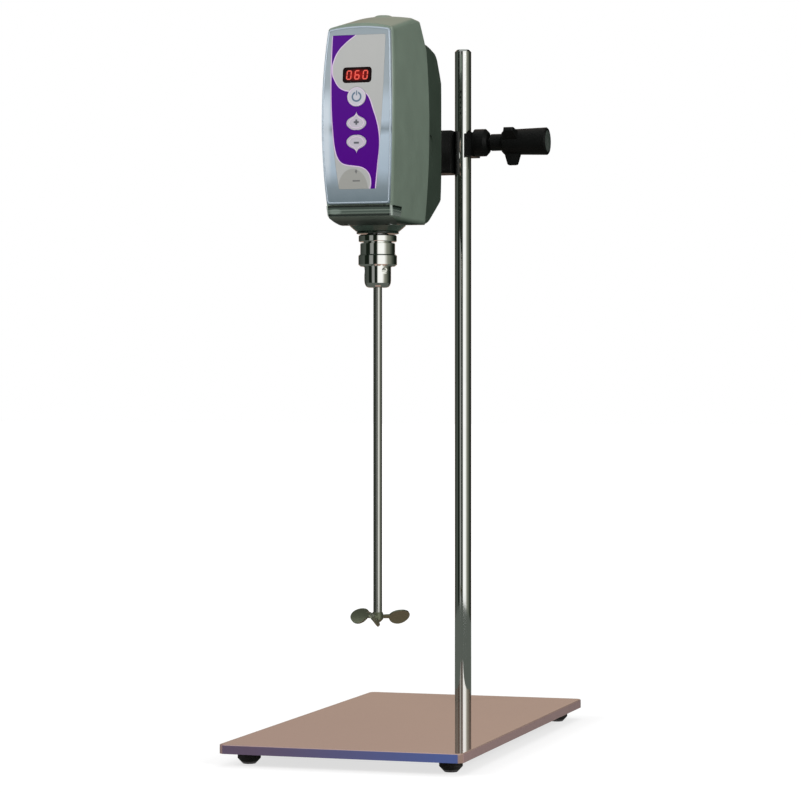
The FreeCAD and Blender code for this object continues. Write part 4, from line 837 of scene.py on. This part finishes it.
@dataclass(frozen=True)
class BoardResin(Finish):
    """Circuit board: green resin over a fine weave, with bright tracks that run across it."""

    track_scale: float = 120.0
    weave_scale: float = 1500.0

    def material(self) -> Material:
        """Make the board: a wave gives the tracks and a fine checker the weave.

        Returns:
            The material.
        """
        graph = Graph(self.name)
        wave = graph.node("ShaderNodeTexWave", {"bands_direction": "X"}, {
            "Vector": graph.place, "Scale": self.track_scale, "Distortion": 3.0})
        weave = graph.node("ShaderNodeTexChecker", {}, {"Vector": graph.place, "Scale": self.weave_scale})
        tracks = Signal(graph, wave.outputs[1]).inside(0.25, 0.05)
        return graph.surface(self, {
            "Base Color": graph.blend(tracks, self.colour, scaled(self.colour, 1.8)),
            "Normal": graph.bump(Signal(graph, weave.outputs[1]), 0.02 * MM),
        })


def closed_skin(name: str, points: np.ndarray) -> Object:
    """Join a grid of points, closed both ways, into one smooth skin.

    Each face joins a point with the next along the path and the next round the section.

    Args:
        name: The piece's name.
        points: Places with the shape (steps along the path, steps round the section, 3), where the section
            runs so that the faces point outwards.

    Returns:
        The object, at the origin.
    """
    steps, sides = points.shape[:2]
    row = np.arange(steps)[:, None] * sides
    column = np.arange(sides)[None, :]
    next_row, next_column = np.roll(row, -1, axis=0), np.roll(column, -1, axis=1)
    corners = [row + column, next_row + column, next_row + next_column, row + next_column]
    quads = np.stack(corners, -1).reshape(-1, 4)
    mesh = bpy.data.meshes.new(name)
    mesh.vertices.add(steps * sides)
    mesh.vertices.foreach_set("co", points.astype(np.float32).ravel())
    mesh.loops.add(quads.size)
    mesh.loops.foreach_set("vertex_index", quads.astype(np.int32).ravel())
    mesh.polygons.add(len(quads))
    mesh.polygons.foreach_set("loop_start", np.arange(0, quads.size, 4, dtype=np.int32))
    mesh.polygons.foreach_set("use_smooth", np.ones(len(quads), bool))
    mesh.update(calc_edges=True)
    return placed(name, mesh)


def evened(path: np.ndarray, count: int, rounding: float) -> np.ndarray:
    """Space a closed path's points evenly and round its corners.

    The places are read off the path's running length, and each then becomes the mean of its neighbours within
    the rounding length, which turns a sharp corner into a bend.

    Args:
        path: The corners and bends of the closed path, as (across, up) pairs.
        count: How many points to return.
        rounding: The length over which corners are rounded.

    Returns:
        The points, with the shape (count, 2).
    """
    ring = np.vstack([path, path[:1]])
    length = np.concatenate([[0.0], np.cumsum(np.linalg.norm(np.diff(ring, axis=0), axis=1))])
    where = np.linspace(0.0, length[-1], count, endpoint=False)
    points = np.stack([np.interp(where, length, ring[:, axis]) for axis in (0, 1)], 1)
    half = int(rounding / length[-1] * count / 2)
    shifted = [np.roll(points, step, axis=0) for step in range(-half, half + 1)]
    return np.mean(shifted, axis=0)


@dataclass
class FrontPanel:
    """Trims of the bowed front: the bead round the bezel and the raised rims of the three keys."""

    face_centre_y: float = 377.0 * MM
    face_centre_z: float = 555.0 * MM
    bezel_radius: float = 452.5 * MM
    cap_radius: float = 452.6 * MM
    half_width: float = 32.5 * MM
    barrel_radius: float = 898.2 * MM
    barrel_peak: float = 562.0 * MM
    foot: float = 486.0 * MM
    shoulder: float = 642.2 * MM
    crown: float = 2.8 * MM
    bead_inset: float = 1.1 * MM
    bead_size: Pair = (1.2 * MM, 0.5 * MM)
    bead_rounding: float = 4.0 * MM
    rim_size: Pair = (0.7 * MM, 0.22 * MM)
    power_radius: float = 7.9 * MM
    leaf_half: float = 9.2 * MM
    leaf_base: float = 6.7 * MM
    leaf_tip: float = 9.4 * MM
    leaf_widths: tuple = (0.0, 0.3, 0.78, 1.0, 0.66, 0.0)
    leaf_heights: tuple = (0.78, 0.42, -0.12, -0.8, -1.0)
    leaf_inset: float = 0.79
    leaf_rounding: float = 2.0 * MM
    sunk: float = 0.4
    bead_steps: int = 480
    leaf_steps: int = 160
    circle_steps: int = 240
    section_steps: int = 14

    def on_face(self, flat: np.ndarray, radius: np.ndarray | float) -> np.ndarray:
        """Lay (across, up) pairs on the bowed front.

        The front is a drum that lies across the casing, so a point's depth is the drum's centre less the root
        of the radius squared less the height over the centre squared.

        Args:
            flat: The pairs, with the shape (..., 2), across counted from the spindle's axis.
            radius: The drum's radius at each pair.

        Returns:
            The places, with the shape (..., 3).
        """
        rise = flat[..., 1] - self.face_centre_z
        depth = self.face_centre_y - np.sqrt(radius * radius - rise * rise)
        return np.stack([flat[..., 0] + AXIS_X * MM, depth, flat[..., 1]], -1)

    def bead(self, name: str, path: np.ndarray, base: float, size: Pair) -> Object:
        """Run a low rounded bead along a closed path on the front.

        The section is half an ellipse above the face and a shallow one below it, turned to stand across the
        path.

        Args:
            name: The piece's name.
            path: The closed path as (across, up) pairs.
            base: The drum radius on which the bead sits.
            size: The bead's width and height.

        Returns:
            The bead.
        """
        width, height = size
        ahead = np.roll(path, -1, axis=0) - np.roll(path, 1, axis=0)
        ahead = ahead / np.linalg.norm(ahead, axis=1, keepdims=True)
        side = np.stack([ahead[:, 1], -ahead[:, 0]], 1)
        turn = np.linspace(0.0, 2 * np.pi, self.section_steps, endpoint=False)
        out = np.cos(turn) * width / 2
        proud = np.sin(turn) * np.where(np.sin(turn) > 0, height, height * self.sunk)
        flat = path[:, None, :] + side[:, None, :] * out[None, :, None]
        radius = base + np.broadcast_to(proud, flat.shape[:2])
        return closed_skin(name, self.on_face(flat, radius))

    def bezel_path(self) -> np.ndarray:
        """Path just inside the bezel's edge: barrel-shaped sides, a level foot and an arched top.

        Each side stands in from its widest by the barrel's sag, and the top rises by the crown less the
        square of the share of the half width.

        Returns:
            The path as (across, up) pairs.
        """
        up = np.linspace(self.foot + self.bead_inset, self.shoulder - self.bead_inset, 60)
        sag = self.barrel_radius - np.sqrt(self.barrel_radius**2 - (up - self.barrel_peak) ** 2)
        half = self.half_width - self.bead_inset - sag
        share = np.linspace(1.0, -1.0, 31)[1:-1]
        top = np.stack([half[-1] * share, up[-1] + self.crown * (1 - share**2)], 1)
        right = np.stack([half, up], 1)
        left = right[::-1] * [-1, 1]
        return evened(np.vstack([right, top, left]), self.bead_steps, self.bead_rounding)

    def leaf_path(self, centre: float, way: float) -> np.ndarray:
        """Path round a leaf-shaped key with one pointed end, just inside its edge.

        The right side runs from the tip to the base over marked widths and heights, the left side mirrors it,
        and the corners are then rounded.

        Args:
            centre: The key's height.
            way: 1 where the tip points up and -1 where it points down.

        Returns:
            The path.
        """
        across = np.array(self.leaf_widths) * self.leaf_half
        up = np.array([self.leaf_tip, *np.array(self.leaf_heights) * self.leaf_base])
        right = np.stack([across, up], 1)
        whole = np.vstack([right, right[-2:0:-1] * [-1, 1]]) * self.leaf_inset
        path = whole * way + [0.0, centre]
        return evened(path[::-1], self.leaf_steps, self.leaf_rounding)

    def build(self) -> None:
        """Make the bead and the rims, dress them and fix them to their bodies."""
        # The bead's pale silver is partly the bezel's own metal and partly a painted highlight along the
        # bezel's edge.
        silver_and_highlight = Lacquer("bead_silver", linear(192, 206, 218), 0.26, 0.3, mottling=0.04, metallic=0.2)
        pale_print = Moulded("rim_print", linear(226, 208, 226), dust=0.05)
        bead_paint, rim_paint = silver_and_highlight.material(), pale_print.material()
        around = np.linspace(0.0, 2 * np.pi, self.circle_steps, endpoint=False)
        circle = np.stack([np.cos(around), np.sin(around)], 1) * self.power_radius + [0.0, POWER_HEIGHT * MM]
        up_path = self.leaf_path(UP_HEIGHT * MM, 1.0)
        down_path = self.leaf_path(DOWN_HEIGHT * MM, -1.0)
        trims = [("bezel_bead", self.bezel_path(), self.bezel_radius, self.bead_size, "head", bead_paint,
                  "bezel_silver")]
        for key, path in (("power", circle), ("up", up_path), ("down", down_path)):
            trims.append((key + "_rim", path, self.cap_radius, self.rim_size, key + "_key", rim_paint,
                          "key_light"))
        for name, path, base, size, body, material, slot in trims:
            piece = self.bead(name, path, base, size)
            piece.data.materials.append(material)
            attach(piece, body)
            log.info("piece %s rides on %s", name, body)


class Dressing:
    """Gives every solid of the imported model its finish, by a plan of the nodes that wear each."""

    plan: dict[Finish, tuple[str, ...]] = {
        PlateEnamel("plate_enamel", linear(172, 144, 130), 0.03, 1.0): ("base_plate",),
        Moulded("black_rubber", linear(36, 30, 30), 0.62): ("rubber_feet", "shaft_seal"),
        Metal("zinc_steel", linear(176, 178, 176), 0.34): (
            "foot_screws", "rod_washer", "rod_nut", "arm_screws", "arm_backing_plate", "case_screws",
            "board_screws", "neck_screws", "gearbox_screws", "frame_screws", "inlet_nut"),
        Metal("polished_rod", linear(252, 254, 250), 0.05, grind=Grind.ALONG, line_depth=0.002 * MM): (
            "support_rod", "support_arm"),
        Lacquer("black_enamel", linear(8, 9, 8), 0.45, specular=0.2, dimple_depth=0.1 * MM): (
            "boss_head", "rod_lock_screw", "arm_lock_screw"),
        Metal("brass_pad", linear(186, 156, 92), 0.3): (
            "rod_lock_pad", "arm_lock_pad", "motor_bushes", "inlet_pin"),
        Moulded("black_grip", linear(8, 9, 8), 0.5, specular=0.2, dust=0.008): (
            "rod_lock_knob", "arm_lock_knob", "key_switches", "power_inlet"),
        Moulded("grey_cap", linear(62, 72, 65), 0.45): ("rod_lock_knob_cap", "arm_lock_knob_cap"),
        # The casing's colour sinks to a painted shade below 474 mm, on its shaded underside.
        Lacquer("casing_lacquer", linear(122, 138, 123), 0.36, 0.12, foot=474.0,
                painted_shade_colour=linear(34, 46, 38)): ("front_shell", "top_plug"),
        # The rear cover's dark grey-green is partly its own colour and partly painted shade, as it curves
        # away from the light.
        Lacquer("cover_lacquer", linear(58, 71, 60), coat=0.1): ("rear_cover",),
        # Painted reflections: the bezel's bright and dark bands and its glint at the left.
        PaintedLightBands("bezel_silver", roughness=0.3, coat=0.3, metallic=0.35,
                    glint=linear(236, 246, 255), bands=(
            (486, 126, 143, 152), (500, 150, 165, 174), (516, 196, 214, 230), (546, 204, 221, 236),
            (552, 150, 164, 174), (559, 202, 218, 232), (577, 198, 213, 226), (592, 170, 182, 190),
            (645, 156, 168, 175),
        )): ("bezel",),
        # Painted reflections and shade: the chin's light and dark bands, and a painted highlight line at each
        # corner.
        PaintedLightBands("chin_gloss", roughness=0.14, coat=0.8, rib_pitch=2.2,
                    side_highlight_colour=linear(184, 196, 186), pale_oval=(-22.5, 479.4), bands=(
            (475.5, 14, 24, 18), (476.8, 18, 30, 23), (477.8, 104, 116, 106), (479.2, 62, 76, 68),
            (480.6, 116, 128, 118), (481.5, 56, 70, 62), (482.6, 62, 76, 68), (483.1, 16, 26, 20),
            (484.6, 10, 17, 13),
        )): ("chin_trim",),
        PrintedSheet("overlay_print", linear(184, 185, 183), 0.42): ("membrane_overlay",),
        DisplayLens("display_lens", linear(20, 3, 4), 0.12): ("display_window",),
        Moulded("display_black", linear(24, 10, 10), 0.3): ("display_module",),
        KeyFace("key_power_face", linear(200, 199, 208), coat=0.1, mark=Mark.STANDBY, centre=POWER_HEIGHT,
                ink=linear(56, 96, 124)): ("key_power",),
        KeyFace("key_up_face", linear(196, 190, 202), coat=0.1, mark=Mark.CROSS, centre=UP_HEIGHT): (
            "key_up",),
        KeyFace("key_down_face", linear(196, 190, 202), coat=0.1): ("key_down",),
        BoardResin("board_green", linear(22, 96, 52), 0.3): ("control_board",),
        # Painted highlights and shade: the neck's light lines and its dark rims.
        PaintedLightBands("neck_enamel", roughness=0.16, coat=0.4, bands=(
            (462, 30, 42, 34), (464.5, 56, 74, 63), (468.4, 66, 84, 73), (469.4, 112, 132, 120),
            (470.4, 58, 75, 65), (473.4, 66, 86, 74), (474.6, 128, 148, 136), (476.2, 22, 32, 26),
        )): ("neck",),
        Metal("cast_aluminium", linear(172, 173, 174), 0.5, grind=Grind.CAST, line_depth=0.08 * MM): (
            "gearbox_housing", "gearbox_cover"),
        Metal("bearing_steel", linear(190, 190, 192), 0.14): ("bearing_outer_rings", "bearing_inner_rings"),
        Metal("shaft_steel", linear(168, 168, 168), 0.22): (
            "spindle", "motor_pinion", "chuck_jaw_1", "chuck_jaw_2", "chuck_jaw_3"),
        Moulded("gear_plastic", linear(226, 222, 206), dust=0.0): ("spindle_gear",),
        Metal("motor_steel", linear(138, 139, 142), 0.36): ("motor_can", "motor_end_cap", "motor_rotor"),
        Moulded("magnet_grey", linear(70, 70, 74), 0.6): ("motor_magnet",),
        Metal("chuck_chrome", linear(254, 255, 250), 0.04, line_depth=0.0015 * MM): (
            "chuck_body", "chuck_sleeve"),
        Metal("stirrer_steel", linear(206, 207, 200), 0.1, grind=Grind.ALONG, line_depth=0.002 * MM): (
            "stirring_shaft",),
        Metal("blade_steel", linear(128, 134, 112), 0.3, grind=Grind.CAST, metallic=0.8): ("propeller",),
    }

    def build(self) -> None:
        """Make each finish once and put it on its nodes."""
        for finish, names in self.plan.items():
            made = finish.material()
            for name in names:
                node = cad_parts[name]
                node.data.materials.clear()
                node.data.materials.append(made)
                log.info("node %s wears %s", name, finish.name)


@dataclass
class Studio:
    """Pale floor, soft lamps, the screen that polished metal reflects, and the camera.

    A lamp's row is its name, its place, the height on the upright axis that it faces, its side and its power
    in watts. The floor's glow goes from its first value to its second between the fade's two distances. A
    screen tone is an angle in degrees, counted from the camera's side, and a linear colour.
    """

    focal_pixels: float = 2810.6
    frame_pixels: float = 801.0
    shift_pixels: float = -11.5
    film_width: float = 36.0
    place: tuple[float, float, float] = (0.73925, -2.4545, 0.3245)
    azimuth: float = math.radians(17.0)
    ambient: float = 0.5
    lamps: tuple = (
        ("key", (-2.2, -2.2, 1.9), 0.42, 1.4, 52.0),
        ("fill", (2.5, -1.9, 1.5), 0.4, 1.2, 44.0),
        ("top", (0.2, 0.6, 2.8), 0.4, 1.4, 16.0),
    )
    floor_size: float = 40.0
    floor_tone: Colour = (0.34, 0.34, 0.34)
    floor_glow: Pair = (0.70, 0.96)
    fade: Pair = (0.5, 2.5)
    screen_radius: float = 1.25
    screen_height: float = 2.4
    screen_sides: int = 96
    mat_height: float = 0.002
    mat_edge: float = 0.004
    wall_foot: float = 0.008
    mat_tone: Colour = (0.1, 0.112, 0.1)
    lid_tone: Colour = (0.35, 0.37, 0.36)
    warm: Colour = (0.40, 0.29, 0.23)
    dark: Colour = (0.008, 0.012, 0.008)
    dusk: Colour = (0.01, 0.014, 0.01)
    screen_tones: tuple = (
        (-180, warm), (-166, warm), (-158, (0.03, 0.036, 0.03)), (-86, (0.07, 0.08, 0.07)), (-80, dark),
        (-54, dark), (-49, (0.26, 0.27, 0.26)), (-31, (0.29, 0.30, 0.29)), (-26, dark), (-7, dark),
        (-1, (0.6, 0.6, 0.58)), (4, WHITE), (38, WHITE), (50, (0.6, 0.6, 0.56)), (62, (0.24, 0.25, 0.21)),
        (82, (0.15, 0.16, 0.13)), (98, (0.06, 0.07, 0.055)), (118, dusk), (158, dusk), (166, warm),
        (180, warm),
    )

    def world(self) -> None:
        """White where it is seen, and a plain soft level where it lights."""
        graph = Graph("studio", bpy.data.worlds.new("studio"))
        shown = graph.seen(1.0, self.ambient)
        background = graph.node("ShaderNodeBackground", {}, {"Color": WHITE, "Strength": shown})
        bpy.context.scene.world = graph.close(background, "ShaderNodeOutputWorld")

    def backdrop(self, name: str, places: np.ndarray, faces: list, material: Material) -> Object:
        """Make a piece of the stage.

        Args:
            name: The piece's name.
            places: Its corners.
            faces: Its faces, as lists of corner numbers.
            material: What it wears.

        Returns:
            The piece.
        """
        mesh = bpy.data.meshes.new(name)
        mesh.from_pydata(places.tolist(), [], faces)
        mesh.materials.append(material)
        made = placed(name, mesh)
        return made

    def floor(self) -> None:
        """Pale floor that keeps the object's shadow and brightens with the distance from its middle."""
        graph = Graph("floor_white")
        matt = graph.node("ShaderNodeBsdfDiffuse", {}, {"Color": self.floor_tone})
        start, end = self.fade
        near, far = self.floor_glow
        away = ((graph.x.reach(graph.y) - start) / (end - start)).held()
        shown = graph.seen(1.0, 0.0) * (away * (far - near) + near)
        glow = graph.node("ShaderNodeEmission", {}, {"Strength": shown})
        both = graph.node("ShaderNodeAddShader", {}, {0: matt.outputs[0], 1: glow.outputs[0]})
        corners = np.array([(-1, -1, 0), (1, -1, 0), (1, 1, 0), (-1, 1, 0)]) * self.floor_size / 2
        self.backdrop("floor", corners, [(0, 1, 2, 3)], graph.close(both))

    def screen(self) -> None:
        """Round screen that only reflections see, so that polished steel has its dark and bright stripes.

        Its tone follows the angle about the vertical, counted from the camera's side. A dark round mat lies
        inside it, just over the floor, and a grey lid closes it.
        """
        graph = Graph("screen_tones")
        sine, cosine = math.sin(self.azimuth), math.cos(self.azimuth)
        ahead = graph.x * sine - graph.y * cosine
        right = graph.x * cosine + graph.y * sine
        share = right.angle(ahead) / (2 * math.pi) + 0.5
        tone = graph.tone(share, [((angle + 180) / 360, colour) for angle, colour in self.screen_tones])
        mat = graph.z.inside(self.mat_edge, 0.001)
        lid = 1 - graph.z.inside(self.screen_height - 0.05, 0.01)
        both = graph.blend(lid, graph.blend(mat, tone, self.mat_tone), self.lid_tone)
        glow = graph.node("ShaderNodeEmission", {}, {"Color": both})
        sides = self.screen_sides
        turn = np.linspace(0, 2 * np.pi, sides, endpoint=False)
        ring = np.stack([np.cos(turn), np.sin(turn), turn * 0], 1) * self.screen_radius
        levels = (self.mat_height, self.wall_foot, self.screen_height)
        places = np.vstack([ring + [0, 0, level] for level in levels])
        step = np.arange(sides)
        after = np.roll(step, -1)
        wall = np.stack([step, after, after + sides, step + sides], 1)
        faces = np.vstack([wall, wall + sides]).tolist() + [step.tolist(), (step + 2 * sides).tolist()]
        made = self.backdrop("screen", places, faces, graph.close(glow))
        for ray in ("camera", "diffuse", "shadow", "transmission"):
            setattr(made, "visible_" + ray, False)

    def hang_lamps(self) -> None:
        """Hang the square soft lamps, each turned to its point on the upright axis."""
        for name, place, aim, size, power in self.lamps:
            data = bpy.data.lights.new(name, "AREA")
            data.energy = power
            data.size = size
            made = placed(name, data)
            made.location = place
            x, y, z = place
            made.rotation_euler = (math.atan2(math.hypot(x, y), z - aim), 0.0, math.atan2(x, -y))

    def camera(self) -> None:
        """Level camera at the photograph's place, with its long lens."""
        data = bpy.data.cameras.new("camera")
        data.lens = self.focal_pixels * self.film_width / self.frame_pixels
        data.sensor_width = self.film_width
        data.shift_y = self.shift_pixels / self.frame_pixels
        data.clip_end = 60.0
        made = placed("camera", data)
        made.location = self.place
        made.rotation_euler = (math.pi / 2, 0.0, self.azimuth)
        bpy.context.scene.camera = made

    def build(self) -> None:
        """Set up the whole studio."""
        bpy.context.scene.view_settings.view_transform = "Standard"
        self.world()
        self.floor()
        self.hang_lamps()
        self.screen()
        self.camera()
        log.info("studio ready")


def main() -> None:
    """Build the studio, dress the solids and add the trims."""
    logging.basicConfig(level=logging.INFO, format="%(message)s")
    Studio().build()
    Dressing().build()
    FrontPanel().build()


if __name__ == "__main__":
    main()
